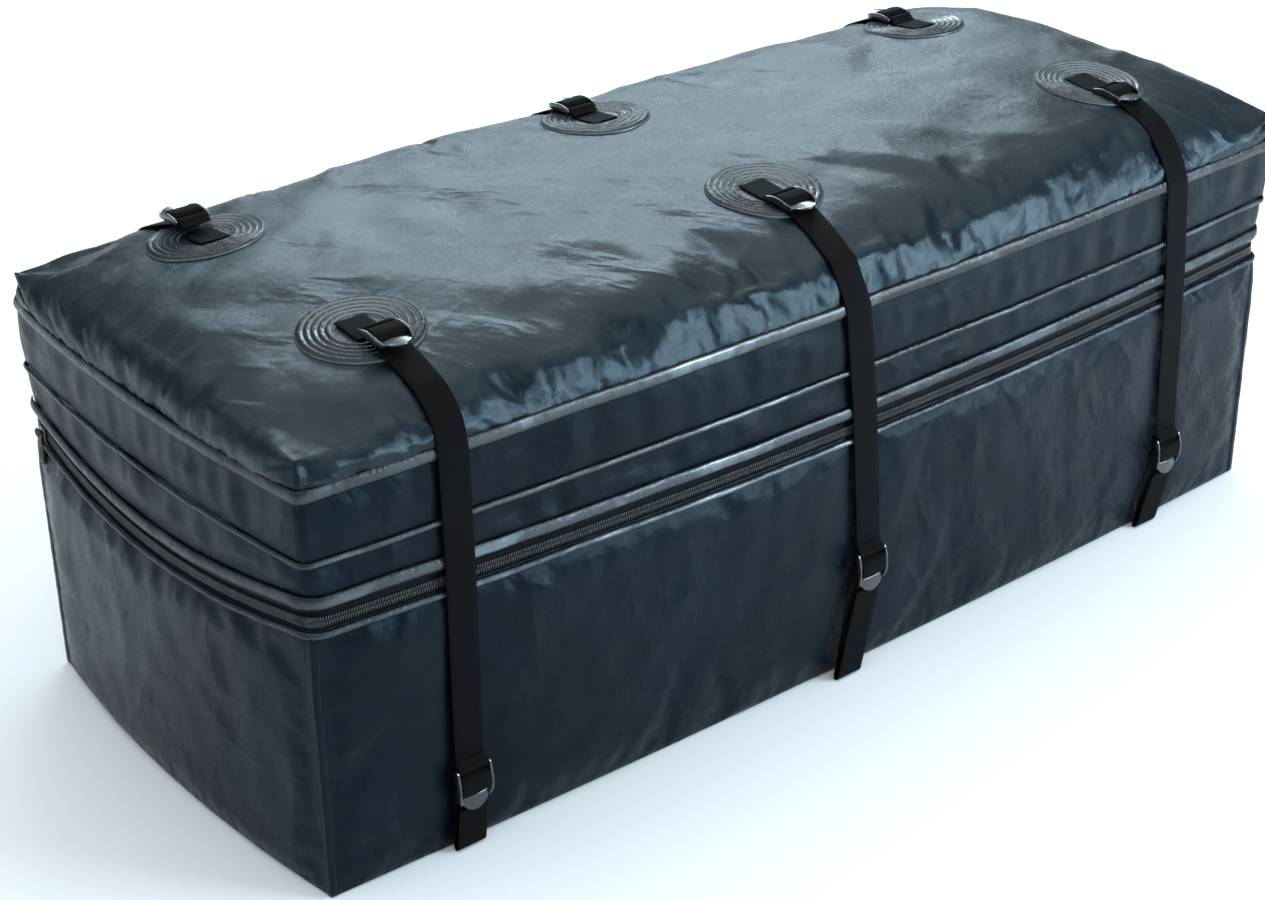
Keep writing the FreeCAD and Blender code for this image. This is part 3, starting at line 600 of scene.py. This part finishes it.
def welded_film(name, dark, pale, edged=False, ring_step=0.0):
    """Heat-sealed film: glossy and crinkled across its width, with painted highlights where its colour is
    blended from dark towards pale.
    """
    finish, shader, place, uv = new_finish(name, Specular_IOR_Level=0.3, Coat_Roughness=0.20)
    crinkle = place.noise(140.0, 4.0, 0.7)
    patchy = place.noise(6.0, 4.0, 0.7)
    # Painted highlight in large patches, with a faint crinkle in the tone; the same mask sets the coat.
    bright = patchy.between(0.50, 0.62) * 0.9 + crinkle * 0.14
    if edged:
        # Painted highlight: the film is made pale along the left half of the front, and kept dull elsewhere.
        across, along = uv.part(1), place.part(0)
        wear_and_highlight = along.between(-0.76, -0.64) * (1.0 - along.between(-0.03, 0.03) * 0.7)
        wear_and_highlight = wear_and_highlight * place.part(1).between(0.0, -0.2)
        bright = (bright * 1.2 + wear_and_highlight * 0.25) * (wear_and_highlight * 0.9 + 0.1)
        # The painted highlight fades out towards both edges of the strip, which stay dark.
        bright = bright * (across * (1 - across) * 5.2 - 0.25).clamp()
    if ring_step:
        # Painted highlight on the puffed band beside each ring of stitching.
        radius = uv.part(1)
        bright = bright * 0.3 + radius.wave(ring_step).between(0.45, 1.0) * radius.between(0.028, 0.031)
    connect(bright.clamp().blend(dark, pale), shader, "Base Color")
    connect(crinkle * 0.25 + patchy * 0.15 + 0.08, shader, "Roughness")
    connect(bright.clamp(), shader, "Coat Weight")
    bump(crinkle, shader, 0.0016, 0.8)
    return finish


# Its pale colour is the painted highlight on the seam tapes.
film = welded_film("welded_film", (0.004, 0.007, 0.010, 1), (0.085, 0.118, 0.140, 1), edged=True)
tapes = [seam_tape, mid_welt, flap_hem, tub_welt]
for tape, body, node in zip(tapes, ("lid", "lid", "lid", "tub"),
                            ("top_seam_tape", "mid_welt", "rain_flap", "tub_top_welt")):
    dress(tape, film, "welded_tape", body, node)


# ---------------------------------------------------------------- zipper tapes
# Two woven black tapes, one sewn inside the tub's top edge and one inside the lid's gusset.
def zipper_tape(name, near, far, seed):
    def point(u, v):
        run = three_sides[0] + u * three_sides[1]
        z = zip_height + near + v * (far - near) - sag(run)
        place, normal = skin(run, z)
        deep = -0.0026 - 0.006 * np.clip(v * 1.3 - 0.3, 0, 1) if near < far else -0.0026 - 0 * v
        return place + normal * (deep + 0.0003 * field(place, 30, seed))[:, None]

    return grid_piece(name, 480, 5, point, (three_sides[1], abs(far - near)), thickness=0.0009)


def woven(name, colour, pale, rib, rib_depth):
    """Narrow woven goods: fine ribs with a thread pattern, read from the strip's own UV map."""
    finish, shader, place, uv = new_finish(name, Specular_IOR_Level=0.06)
    ribs = uv.part(1).wave(rib)
    threads = uv.part(0).wave(rib * 1.7)
    fuzz = place.noise(420.0, 3.0, 0.7)
    soil = place.noise(14.0, 3.0, 0.5)
    twill = ribs * 0.6 + ribs * threads * 0.4
    connect((twill * 0.5 + fuzz * 0.6).between(0.0, 0.9).blend(colour, pale), shader, "Base Color")
    connect(soil * 0.15 + fuzz * 0.1 + 0.5, shader, "Roughness")
    bump(twill * 0.5 + fuzz * 0.35, shader, rib_depth)
    return finish


tape_cloth = woven("zipper_tape_cloth", (0.004, 0.004, 0.005, 1), (0.012, 0.013, 0.015, 1), 0.0016, 0.0004)
for name, near, far, body, seed in (("zipper_tape_lower", -0.028, -0.0006, "tub", 6.0),
                                    ("zipper_tape_upper", 0.0006, 0.026, "lid", 16.0)):
    dress(zipper_tape(name, near, far, seed), tape_cloth, "zipper_tape", body, name)


# ---------------------------------------------------------------- zipper coils
# Each half is a nylon coil sewn to its tape: a row of looped teeth that lock between the teeth opposite.
tooth_pitch = 0.0030
tooth_length = 0.0068
tooth_width = 0.0019
tooth_depth = 0.0022
tooth_slant = 0.10
head_gap = 0.0030
coil_sink = -0.0010


def coil_tooth():
    """One looped tooth, lying across the tape with its head at the middle line."""
    bpy.ops.object.select_all(action="DESELECT")
    bpy.ops.mesh.primitive_cylinder_add(vertices=6, radius=0.5, depth=1.0, rotation=(0, math.pi / 2, 0))
    tooth = bpy.context.object
    bpy.ops.object.transform_apply(location=False, rotation=True, scale=True)
    mesh = tooth.data
    points = np.empty(len(mesh.vertices) * 3)
    mesh.vertices.foreach_get("co", points)
    points = points.reshape(-1, 3)
    points *= (tooth_length, tooth_width, tooth_depth)
    faces = [list(face.vertices) for face in mesh.polygons]
    bpy.data.objects.remove(tooth)
    return points, faces


def coil_row(name, sign, phase):
    """A row of teeth along the zipper, on one side of its middle line, as one mesh."""
    points, faces = coil_tooth()
    count = int(three_sides[1] / tooth_pitch)
    runs = three_sides[0] + (np.arange(count) + phase) * tooth_pitch
    place, normal = skin(runs, zip_height - sag(runs) + sign * head_gap, coil_sink)
    ahead = skin(runs + 0.001, zip_height - sag(runs + 0.001) + sign * head_gap, coil_sink)[0]
    along = ahead - place
    along /= np.linalg.norm(along, axis=1, keepdims=True)
    up = np.cross(normal, along)
    up *= np.sign(up[:, 2:3])
    verts, polygons = [], []
    bow = (points[:, 0] / tooth_length * 2) ** 2 * -0.0004
    for n in range(count):
        across = up[n] + along[n] * tooth_slant * sign
        verts.append(place[n] + points[:, :1] * across + points[:, 1:2] * along[n]
                     + (points[:, 2:3] + bow[:, None]) * normal[n])
        polygons += [[index + n * len(points) for index in face] for face in faces]
    mesh = bpy.data.meshes.new(name)
    mesh.from_pydata(np.concatenate(verts).tolist(), [], polygons)
    piece = bpy.data.objects.new(name, mesh)
    bpy.context.collection.objects.link(piece)
    bpy.ops.object.select_all(action="DESELECT")
    piece.select_set(True)
    bpy.context.view_layer.objects.active = piece
    bpy.ops.object.mode_set(mode="EDIT")
    bpy.ops.mesh.select_all(action="SELECT")
    bpy.ops.mesh.normals_make_consistent(inside=False)
    bpy.ops.object.mode_set(mode="OBJECT")
    bpy.ops.object.shade_smooth()
    return piece


def moulded(name, colour, pale, roughness, grain, coat=0.0):
    """Moulded or enamelled hard parts: even colour with faint handling marks and a fine surface."""
    finish, shader, place, uv = new_finish(name, Specular_IOR_Level=0.6, Coat_Weight=coat, Coat_Roughness=0.12)
    marks = place.noise(180.0, 4.0, 0.6)
    scuffs = place.noise(55.0, 4.0, 0.7)
    connect(scuffs.between(0.45, 0.7).blend(colour, pale), shader, "Base Color")
    connect(marks * 0.12 + scuffs * 0.12 + (roughness - 0.1), shader, "Roughness")
    bump(marks, shader, grain, 0.5)
    return finish


coil_nylon = moulded("coil_nylon", (0.020, 0.021, 0.023, 1), (0.045, 0.046, 0.050, 1), 0.35, 0.0002)
for name, sign, body, phase in (("zipper_coil_lower", -1, "tub", 0.0), ("zipper_coil_upper", 1, "lid", 0.5)):
    dress(coil_row(name, sign, phase), coil_nylon, "zipper_coil", body, name)


# ---------------------------------------------------------------- strap patches
# Round reinforcements of two cloth layers, stitched in six rings that draw the cloth down between puffed
# bands.
patch_radius = 0.070
ring_step = 0.0075
stitch_rings = [0.068125 - ring_step * n for n in range(6)]


def top_height(x, y):
    """Height of the lid's relaxed top, or of nothing where there is no top."""
    spot = top_tree.ray_cast(Vector((x, y, 1.0)), Vector((0, 0, -1)))[0]
    return None if spot is None else spot.z


def patch_piece(name, x, y, seed):
    rings, spokes = 56, 120

    def point(u, v):
        radius = patch_radius * v
        angle = u * 2 * math.pi
        px, py = x + radius * np.cos(angle), y + radius * np.sin(angle)
        height = np.array([top_height(a, b) for a, b in zip(px, py)])
        puff = np.zeros_like(radius)
        for outer, inner in zip(stitch_rings[:-1], stitch_rings[1:]):
            across = np.clip((radius - inner) / (outer - inner), 0, 1)
            puff += (radius > inner) * (radius < outer) * np.sin(across * math.pi) ** 0.8 * 0.0026
        puff += np.where(radius <= stitch_rings[-1], 0.0006, 0)
        edge = np.clip((patch_radius - radius) / 0.0012, 0, 1) * 0.0016
        spot = np.stack([px, py, 0 * px], -1)
        crimp = 1 + 0.35 * field(spot, 130, seed)
        return np.stack([px, py, height + 0.0004 + edge + puff * crimp], -1)

    piece = grid_piece(name, spokes, rings, point, (patch_radius * 2 * math.pi, patch_radius), thickness=0)
    bpy.ops.object.mode_set(mode="EDIT")
    bpy.ops.mesh.select_all(action="SELECT")
    bpy.ops.mesh.remove_doubles(threshold=0.00002)
    bpy.ops.mesh.normals_make_consistent(inside=False)
    bpy.ops.object.mode_set(mode="OBJECT")
    if sum(face.normal.z * face.area for face in piece.data.polygons) < 0:
        piece.data.flip_normals()
    give_wall(piece)
    return piece


# Its pale colour is the painted highlight on the patches.
patch_film = welded_film("patch_film", (0.004, 0.008, 0.011, 1), (0.090, 0.125, 0.145, 1), ring_step=ring_step)
stitch_thread = moulded("stitch_thread", (0.003, 0.003, 0.003, 1), (0.008, 0.008, 0.008, 1), 0.6, 0.0003)
stations = [(f"{row}_{name}", column, side) for row, side in (("front", -1), ("back", 1))
            for column, name in enumerate(("left", "middle", "right"))]
for label, column, side in stations:
    patch = patch_piece(f"{label}_patch", columns_x[column], side * patch_row, column + side * 2.0 + 5)
    dress(patch, patch_film, "top_fabric", "lid", *(["strap_patches"] if label == "front_left" else []))
    patch.data.materials.append(stitch_thread)
    centre = Vector((columns_x[column], side * patch_row, 0))
    for face in patch.data.polygons:
        radius = (Vector((face.center.x, face.center.y, 0)) - centre).length
        if face.normal.z > 0 and any(abs(radius - ring) < 0.0007 for ring in stitch_rings):
            face.material_index = 1

# ---------------------------------------------------------------- webbing straps, tabs and rail loops
# Black polyester webbing, 38 mm wide. A tab is sewn to each patch. The long strap runs from the top lock over
# the shoulder to the lower lock, and a loop below that goes round the tray's rail.
strap_width = 0.038
strap_thickness = 0.0016
strap_start = 0.193
strap_samples = (-0.017, 0, 0.017)
tab_start, tab_end = 0.137, 0.183
webbing = woven("strap_webbing", (0.0004, 0.0004, 0.0005, 1), (0.0035, 0.0035, 0.0042, 1), 0.0021, 0.0006)


def resample(points, step=0.004, soften=3):
    """Even steps along a path, with its corners eased."""
    points = np.asarray(points, float)
    lengths = np.concatenate(([0], np.cumsum(np.linalg.norm(np.diff(points, axis=0), axis=1))))
    count = max(4, int(lengths[-1] / step))
    targets = np.linspace(0, lengths[-1], count + 1)
    even = np.stack([np.interp(targets, lengths, points[:, axis]) for axis in range(3)], -1)
    for _ in range(soften):
        even[1:-1] = (even[:-2] + 2 * even[1:-1] + even[2:]) / 4
    return even


def ribbon(name, path, width=strap_width, thickness=strap_thickness):
    """A strip of webbing along a path, with a rounded edge and its UV map in metres."""
    path = np.asarray(path, float)
    count = len(path) - 1
    lengths = np.concatenate(([0], np.cumsum(np.linalg.norm(np.diff(path, axis=0), axis=1))))

    def point(u, v):
        index = v * count
        centre = np.stack([np.interp(index, np.arange(count + 1), path[:, axis]) for axis in range(3)], -1)
        return centre + np.stack([(u - 0.5) * width, 0 * u, 0 * u], -1)

    piece = grid_piece(name, 6, count, point, (width, lengths[-1]), thickness=0)
    wall = piece.modifiers.new("wall", "SOLIDIFY")
    wall.thickness = thickness
    wall.offset = 0
    bpy.ops.object.modifier_apply(modifier=wall.name)
    edge = piece.modifiers.new("edge", "BEVEL")
    edge.width = thickness * 0.3
    edge.segments = 2
    edge.angle_limit = 0.9
    bpy.ops.object.modifier_apply(modifier=edge.name)
    bpy.ops.object.shade_smooth_by_angle(angle=0.7)
    piece.data.materials.append(webbing)
    return piece


def outer_chain(points, start, end):
    """The taut path from start to end over a set of (out, height) points."""
    points = sorted(set(map(tuple, list(points) + [start, end])))
    cross = lambda o, a, b: (a[0] - o[0]) * (b[1] - o[1]) - (a[1] - o[1]) * (b[0] - o[0])
    upper = []
    for spot in reversed(points):
        while len(upper) >= 2 and cross(upper[-2], upper[-1], spot) <= 0:
            upper.pop()
        upper.append(spot)
    lower = []
    for spot in points:
        while len(lower) >= 2 and cross(lower[-2], lower[-1], spot) <= 0:
            lower.pop()
        lower.append(spot)
    ring = upper[:-1] + lower[:-1]
    first, last = ring.index(start), ring.index(end)
    forward = [ring[(first + n) % len(ring)] for n in range((last - first) % len(ring) + 1)]
    backward = [ring[(first - n) % len(ring)] for n in range((first - last) % len(ring) + 1)]
    return max((forward, backward), key=lambda chain: sum(a + b for a, b in chain) / len(chain))


# How far each strap stands sideways of its column, at the shoulder and at the lower lock.
lean = {"front_left": (0.0, 0.0), "front_middle": (-0.012, 0.016), "front_right": (-0.006, 0.020),
        "back_left": (0.0, 0.0), "back_middle": (0.0, 0.010), "back_right": (0.0, -0.010)}
wall_points, wall_faces = [], []
for piece in [tub_walls, gusset, upper_band] + tapes:
    first = len(wall_points)
    wall_points += [vertex.co.copy() for vertex in piece.data.vertices]
    wall_faces += [[first + index for index in face.vertices] for face in piece.data.polygons]
wall_tree = BVHTree.FromPolygons(wall_points, wall_faces)


def on_wall(x, side, z):
    """How far out the cloth and its tapes stand across a strap's width, on the front or the back."""
    inward = Vector((0, -side, 0))
    spots = [wall_tree.ray_cast(Vector((x + dx, side * 0.5, z)), inward)[0] for dx in strap_samples]
    return max((abs(spot.y) for spot in spots if spot is not None), default=half_width)


for label, column, side in stations:
    x = columns_x[column]
    face_low, face_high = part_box(f"{label}_strap")
    lowest = face_low.z + 0.001
    bar_z = joints[f"{label}_top_tilt"][2]
    shift_top, shift_low = lean[label]
    profile = [(on_wall(x + shift_top, side, z) + 0.0013, z)
               for z in np.arange(lowest, seam_height + 0.008, 0.005)]
    for out in np.arange(0.20, half_width + 0.016, 0.005):
        heights = [top_height(x + dx, side * out) for dx in strap_samples]
        on_patch = 0.0036 if out < patch_row + patch_radius + 0.003 else 0
        if all(height is not None and height > seam_height for height in heights):
            profile.append((out, max(heights) + 0.0014 + on_patch))
    begin = (strap_start, max(bar_z - 0.0026, top_height(x, side * strap_start) + 0.0052))
    end_out = max(abs(face_low.y), abs(face_high.y)) - 0.0010
    chain = outer_chain(profile, begin, (end_out, lowest))
    total = shoulder_height - lowest
    path = []
    for out, z in chain:
        drop = min(max((shoulder_height - z) / total, 0), 1)
        near = min(max((out - 0.22) / 0.08, 0), 1)
        shift = shift_top * near + (shift_low - shift_top) * drop
        path.append((x + shift, side * out, z))
    strap = ribbon(f"{label}_strap", resample(path))
    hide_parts(f"{label}_strap")
    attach(strap, "lid")

for label, column, side in stations:
    x = columns_x[column]
    tab_path = [(x, side * out, top_height(x, side * out) + 0.0038)
                for out in np.linspace(tab_start, tab_end, 14)]
    tab = ribbon(f"{label}_tab", tab_path, thickness=0.0022)
    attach(tab, "lid")
    if label == "front_left":
        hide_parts("strap_tabs")
    loop_low, loop_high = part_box(f"{label}_loop")
    inner = min(abs(loop_low.y), abs(loop_high.y)) + strap_thickness / 2
    outer = max(abs(loop_low.y), abs(loop_high.y)) - strap_thickness / 2
    lock_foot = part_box(f"{label}_low_lock")[0].z
    top_outer = lock_foot - 0.004
    radius = (outer - inner) / 2
    shift_low = lean[label][1]
    loop = [(inner, loop_high.z), (inner, radius + 0.012)]
    for turn in np.linspace(0.1, math.pi - 0.1, 9):
        lift = 0.004 if turn < 0.3 else 0
        loop.append((inner + radius * (1 - math.cos(turn)), radius * (1 - math.sin(turn)) + foot_height + lift))
    loop += [(outer, radius + 0.012), (outer - 0.001, top_outer * 0.6), (outer - 0.001, top_outer)]
    path = []
    for out, z in loop:
        swing = min(max(1 - z / lock_foot, 0), 1)
        path.append((x + shift_low - (0.030 if shift_low > 0 else 0.006) * swing, side * out, max(z, 0.0012)))
    rail_loop = ribbon(f"{label}_loop", resample(path, 0.003, 1))
    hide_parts(f"{label}_loop")
    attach(rail_loop, "tub")


# ---------------------------------------------------------------- ladder locks
# Moulded nylon tension locks. Two curved rails carry an anchor bar, a gripping bar and a thumb plate; the
# webbing is wrapped over the bars. The top locks hang on the patch tabs and the lower ones on the loops.
lock_width = 0.046
wrap_width = 0.0375


def block(size, centre, edge=0.0006, segments=2):
    """A rounded moulded block."""
    bpy.ops.object.select_all(action="DESELECT")
    bpy.ops.mesh.primitive_cube_add(size=1, location=centre)
    made = bpy.context.object
    made.scale = size
    bpy.ops.object.transform_apply(location=True, rotation=True, scale=True)
    soften = made.modifiers.new("edge", "BEVEL")
    soften.width = edge
    soften.segments = segments
    bpy.ops.object.modifier_apply(modifier=soften.name)
    return made


def bar(radius, length, centre):
    bpy.ops.object.select_all(action="DESELECT")
    bpy.ops.mesh.primitive_cylinder_add(vertices=20, radius=radius, depth=length, location=centre,
                                        rotation=(0, math.pi / 2, 0))
    bpy.ops.object.transform_apply(location=True, rotation=True, scale=True)
    return bpy.context.object


def slice_block(made, axis, cuts):
    """Extra edges across a block, so that it can be curved."""
    bpy.ops.object.mode_set(mode="EDIT")
    for cut in cuts:
        bpy.ops.mesh.select_all(action="SELECT")
        bpy.ops.mesh.bisect(plane_co=[cut * part for part in axis], plane_no=axis)
    bpy.ops.object.mode_set(mode="OBJECT")


def lock_arch(y):
    """How high a rail rises at a distance from the anchor bar."""
    return 0.0062 * math.sin(min(max((y + 0.0045) / 0.050, 0), 1) * math.pi) ** 0.8


def lock_rail(side):
    """A side rail: low at the anchor bar, arched over the gripping bar, running down to the thumb plate."""
    made = block((0.0034, 0.0440, 0.0048), (side * (lock_width / 2 - 0.0018), 0.0180, 0), 0.0011)
    slice_block(made, (0, 1, 0), [0.0035 * n for n in range(0, 12)])
    for vertex in made.data.vertices:
        rise = lock_arch(vertex.co.y)
        vertex.co.z += rise if vertex.co.z > 0 else rise * 0.45
        vertex.co.x -= side * 0.0030 * max(vertex.co.y - 0.031, 0) / 0.010
    return made


def thumb_plate():
    """The thumb end: a smooth rounded trapezoid, slightly domed, that stands a little off the strap."""
    made = block((0.0400, 0.0190, 0.0030), (0, 0.0415, 0.0030), 0.0011, 3)
    slice_block(made, (0, 1, 0), [0.0340 + 0.0022 * n for n in range(8)])
    slice_block(made, (1, 0, 0), [-0.0165, -0.0130, -0.0090, -0.0045, 0, 0.0045, 0.0090, 0.0130, 0.0165])
    for vertex in made.data.vertices:
        along = (vertex.co.y - 0.0320) / 0.0190
        vertex.co.y -= 0.0060 * (vertex.co.x / 0.020) ** 2 * max(along, 0)
        vertex.co.x *= 1 - 0.34 * max(along, 0) ** 1.8
        vertex.co.z += 0.0016 * along - 0.0022 * (vertex.co.x / 0.020) ** 2
    return made


def join(pieces, name):
    bpy.ops.object.select_all(action="DESELECT")
    for piece in pieces:
        piece.select_set(True)
    bpy.context.view_layer.objects.active = pieces[0]
    bpy.ops.object.join()
    made = bpy.context.object
    made.name = name
    bpy.ops.object.shade_smooth_by_angle(angle=0.6)
    return made


lock_pattern = join([lock_rail(-1), lock_rail(1), bar(0.0022, lock_width - 0.003, (0, -0.0008, 0.0008)),
                     bar(0.0022, lock_width - 0.004, (0, 0.0125, 0.0054)),
                     bar(0.0020, lock_width - 0.004, (0, 0.0245, 0.0054)),
                     thumb_plate()], "lock_pattern")
grip_path = [(0, 0.0045, -0.0030), (0, 0.0065, 0.0020), (0, 0.0088, 0.0070), (0, 0.0125, 0.0086),
             (0, 0.0185, 0.0088), (0, 0.0250, 0.0084), (0, 0.0285, 0.0058), (0, 0.0315, 0.0010),
             (0, 0.0325, -0.0035)]
anchor_path = [(0, -0.0125, -0.0040), (0, -0.0070, -0.0020), (0, -0.0042, 0.0024), (0, -0.0008, 0.0042),
               (0, 0.0024, 0.0020), (0, 0.0030, -0.0030)]
lock_nylon = moulded("lock_nylon", (0.006, 0.006, 0.007, 1), (0.020, 0.020, 0.022, 1), 0.22, 0.00012,
                     coat=0.6)


def placed_copy(pattern, name, turn, origin):
    """A copy of a pattern with a mesh of its own, turned and moved within that mesh."""
    mesh = pattern.data.copy()
    mesh.name = name
    mesh.transform(Matrix.Translation(origin) @ turn)
    piece = bpy.data.objects.new(name, mesh)
    bpy.context.collection.objects.link(piece)
    return piece


grip_pattern = ribbon("grip_pattern", resample(grip_path, 0.0016, 2), width=wrap_width)
anchor_pattern = ribbon("anchor_pattern", resample(anchor_path, 0.0016, 2), width=wrap_width)
top_tilt = math.radians(-7)
for label, column, side in stations:
    facing = Matrix.Rotation(math.pi if side < 0 else 0, 4, "Z")
    for level, turn in (("top", facing @ Matrix.Rotation(top_tilt, 4, "X")),
                        ("low", facing @ Matrix.Rotation(-math.pi / 2, 4, "X"))):
        body = f"{label}_{level}_lock"
        origin = Vector(joints[f"{label}_{level}_tilt"])
        if level == "low":
            origin.x += lean[label][1]
        dress(placed_copy(lock_pattern, body, turn, origin), lock_nylon, "lock_plastic", body, body)
        # The webbing round the anchor bar belongs to the bag, so it stays when the lock tilts.
        holder = "lid" if level == "top" else "tub"
        for pattern, part, held_by in ((grip_pattern, "grip_wrap", body),
                                       (anchor_pattern, "anchor_wrap", holder)):
            wrap = placed_copy(pattern, f"{body}_{part}", turn, origin)
            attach(wrap, held_by)
for pattern in (lock_pattern, grip_pattern, anchor_pattern):
    bpy.data.objects.remove(pattern)

# ---------------------------------------------------------------- zipper sliders and pull tabs
# Enamelled zinc sliders with a soft moulded pull. The left one is parked at the back of the left end.
slider_enamel = moulded("slider_enamel", (0.008, 0.008, 0.009, 1), (0.030, 0.030, 0.032, 1), 0.28, 0.0001,
                        coat=0.4)
pull_rubber = moulded("pull_rubber", (0.008, 0.008, 0.008, 1), (0.018, 0.018, 0.018, 1), 0.50, 0.0004)
bail_out = 0.0062


def slider_body():
    """Front and rear plates pinched towards the closed end, side flanges, and a bail on two ears."""
    front_plate = block((0.0170, 0.0165, 0.0024), (0, 0, 0.0024), 0.0009, 3)
    rear_plate = block((0.0160, 0.0155, 0.0016), (0, 0, -0.0052), 0.0006)
    for plate in (front_plate, rear_plate):
        slice_block(plate, (1, 0, 0), [-0.006, -0.003, 0, 0.003, 0.006])
        for vertex in plate.data.vertices:
            along = (vertex.co.x + 0.008) / 0.016
            vertex.co.y *= 1 - 0.22 * max(along, 0) ** 1.5
            vertex.co.z += 0.0008 * (1 - (vertex.co.y / 0.008) ** 2) * (1 if vertex.co.z > 0 else 0)
    flanges = [block((0.0130, 0.0014, 0.0036), (-0.0010, side * 0.0074, 0.0008), 0.0005) for side in (-1, 1)]
    post = block((0.0035, 0.0006, 0.0070), (-0.0045, 0, -0.0012), 0.0001)
    ears = [block((0.0019, 0.0042, 0.0056), (side * 0.0046, 0, 0.0050), 0.0008) for side in (-1, 1)]
    rod = bar(0.0011, 0.0100, (0, 0, bail_out))
    return join([front_plate, rear_plate, post, rod] + flanges + ears, "slider_pattern")


def pull_body():
    """A loop round the bail, a waisted neck and a flat grip with moulded ribs. It hangs along local -Y."""
    loop = bar(0.0024, 0.0062, (0, 0, 0))
    neck = block((0.0062, 0.0130, 0.0019), (0, -0.0062, 0), 0.0006)
    grip = block((0.0140, 0.0310, 0.0024), (0, -0.0265, 0), 0.0010, 3)
    slice_block(grip, (0, 1, 0), [-0.0380, -0.0340, -0.0300, -0.0260, -0.0220, -0.0180, -0.0140])
    for vertex in grip.data.vertices:
        along = (-0.0110 - vertex.co.y) / 0.031
        vertex.co.x *= 0.62 + 0.38 * math.sin(min(max(along * 1.15 + 0.12, 0), 1) * math.pi / 2)
        if along > 0.9:
            vertex.co.x *= 1 - 3 * (along - 0.9)
    ribs = [block((0.0085, 0.0011, 0.0034), (0, -0.0200 - 0.0030 * n, 0), 0.0004) for n in range(6)]
    return join([loop, neck, grip] + ribs, "pull_pattern")


slider_pattern, pull_pattern = slider_body(), pull_body()
for side in ("left", "right"):
    low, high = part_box(f"{side}_zip_slider")
    middle_y = (low.y + high.y) / 2
    run = half_width - middle_y if side == "left" else end_run + long_run + middle_y + half_width
    runs = np.array([run, run + 0.002])
    seats, normals = skin(runs, zip_height - sag(runs), coil_sink)
    seat, along, outward = Vector(seats[0]), Vector(seats[1] - seats[0]).normalized(), Vector(normals[0])
    upward = outward.cross(along).normalized()
    turn = Matrix((along, upward, outward)).transposed().to_4x4()
    slider = placed_copy(slider_pattern, f"{side}_slider", turn, seat)
    dress(slider, slider_enamel, "slider_metal", f"{side}_slider", f"{side}_zip_slider", f"{side}_slider_rear")
    pull = placed_copy(pull_pattern, f"{side}_pull", turn, seat + outward * bail_out)
    dress(pull, pull_rubber, "pull_rubber", f"{side}_pull", f"{side}_zip_pull")
for pattern in (slider_pattern, pull_pattern):
    bpy.data.objects.remove(pattern)

# ---------------------------------------------------------------- floor, light and camera
bpy.ops.object.select_all(action="DESELECT")
bpy.ops.mesh.primitive_plane_add(size=30, location=(0, 0, -0.0005))
ground = bpy.context.object
ground.name = "studio_floor"
paper, paper_shader, paper_place, paper_uv = new_finish("studio_paper", Roughness=0.9, Specular_IOR_Level=0.1)
connect(paper_place.noise(3.0).blend((0.86, 0.90, 0.93, 1), (0.87, 0.91, 0.94, 1)), paper_shader, "Base Color")
ground.data.materials.append(paper)

world = bpy.data.worlds.new("studio")
bpy.context.scene.world = world
world.use_nodes = True
backdrop = world.node_tree.nodes["Background"]
backdrop.inputs["Color"].default_value = (0.74, 0.88, 1, 1)
backdrop.inputs["Strength"].default_value = 0.28


def softbox(name, place, aim, size, power, colour=(1, 1, 1)):
    light = bpy.data.lights.new(name, "AREA")
    light.shape = "RECTANGLE"
    light.size, light.size_y = size
    light.energy = power
    light.color = colour
    lamp = bpy.data.objects.new(name, light)
    bpy.context.collection.objects.link(lamp)
    lamp.location = place
    lamp.rotation_mode = "QUATERNION"
    lamp.rotation_quaternion = (Vector(aim) - Vector(place)).to_track_quat("-Z", "Y")


softbox("ceiling", (0, 0, 6), (0, 0, 0), (12, 12), 700)
softbox("back_box", (2.5, 3.4, 2.2), (0.0, 0, 0.5), (2.8, 1.0), 76, (0.70, 0.89, 1.0))
softbox("front_box", (2.3, -3.3, 1.15), (0.1, -0.3, 0.35), (1.8, 0.6), 190, (0.70, 0.88, 1.0))
softbox("left_box", (-3.2, 0.9, 1.0), (-0.7, 0, 0.3), (1.0, 1.6), 9, (0.55, 0.80, 1.0))

camera_data = bpy.data.cameras.new("camera")
camera = bpy.data.objects.new("camera", camera_data)
bpy.context.collection.objects.link(camera)
camera.location = (-1.7877, -2.1373, 1.6469)
camera.rotation_euler = (math.radians(62.002), math.radians(0.638), math.radians(-38.844))
camera_data.lens = 69.32
camera_data.sensor_width = 36
bpy.context.scene.camera = camera
bpy.context.scene.view_settings.view_transform = "Standard"
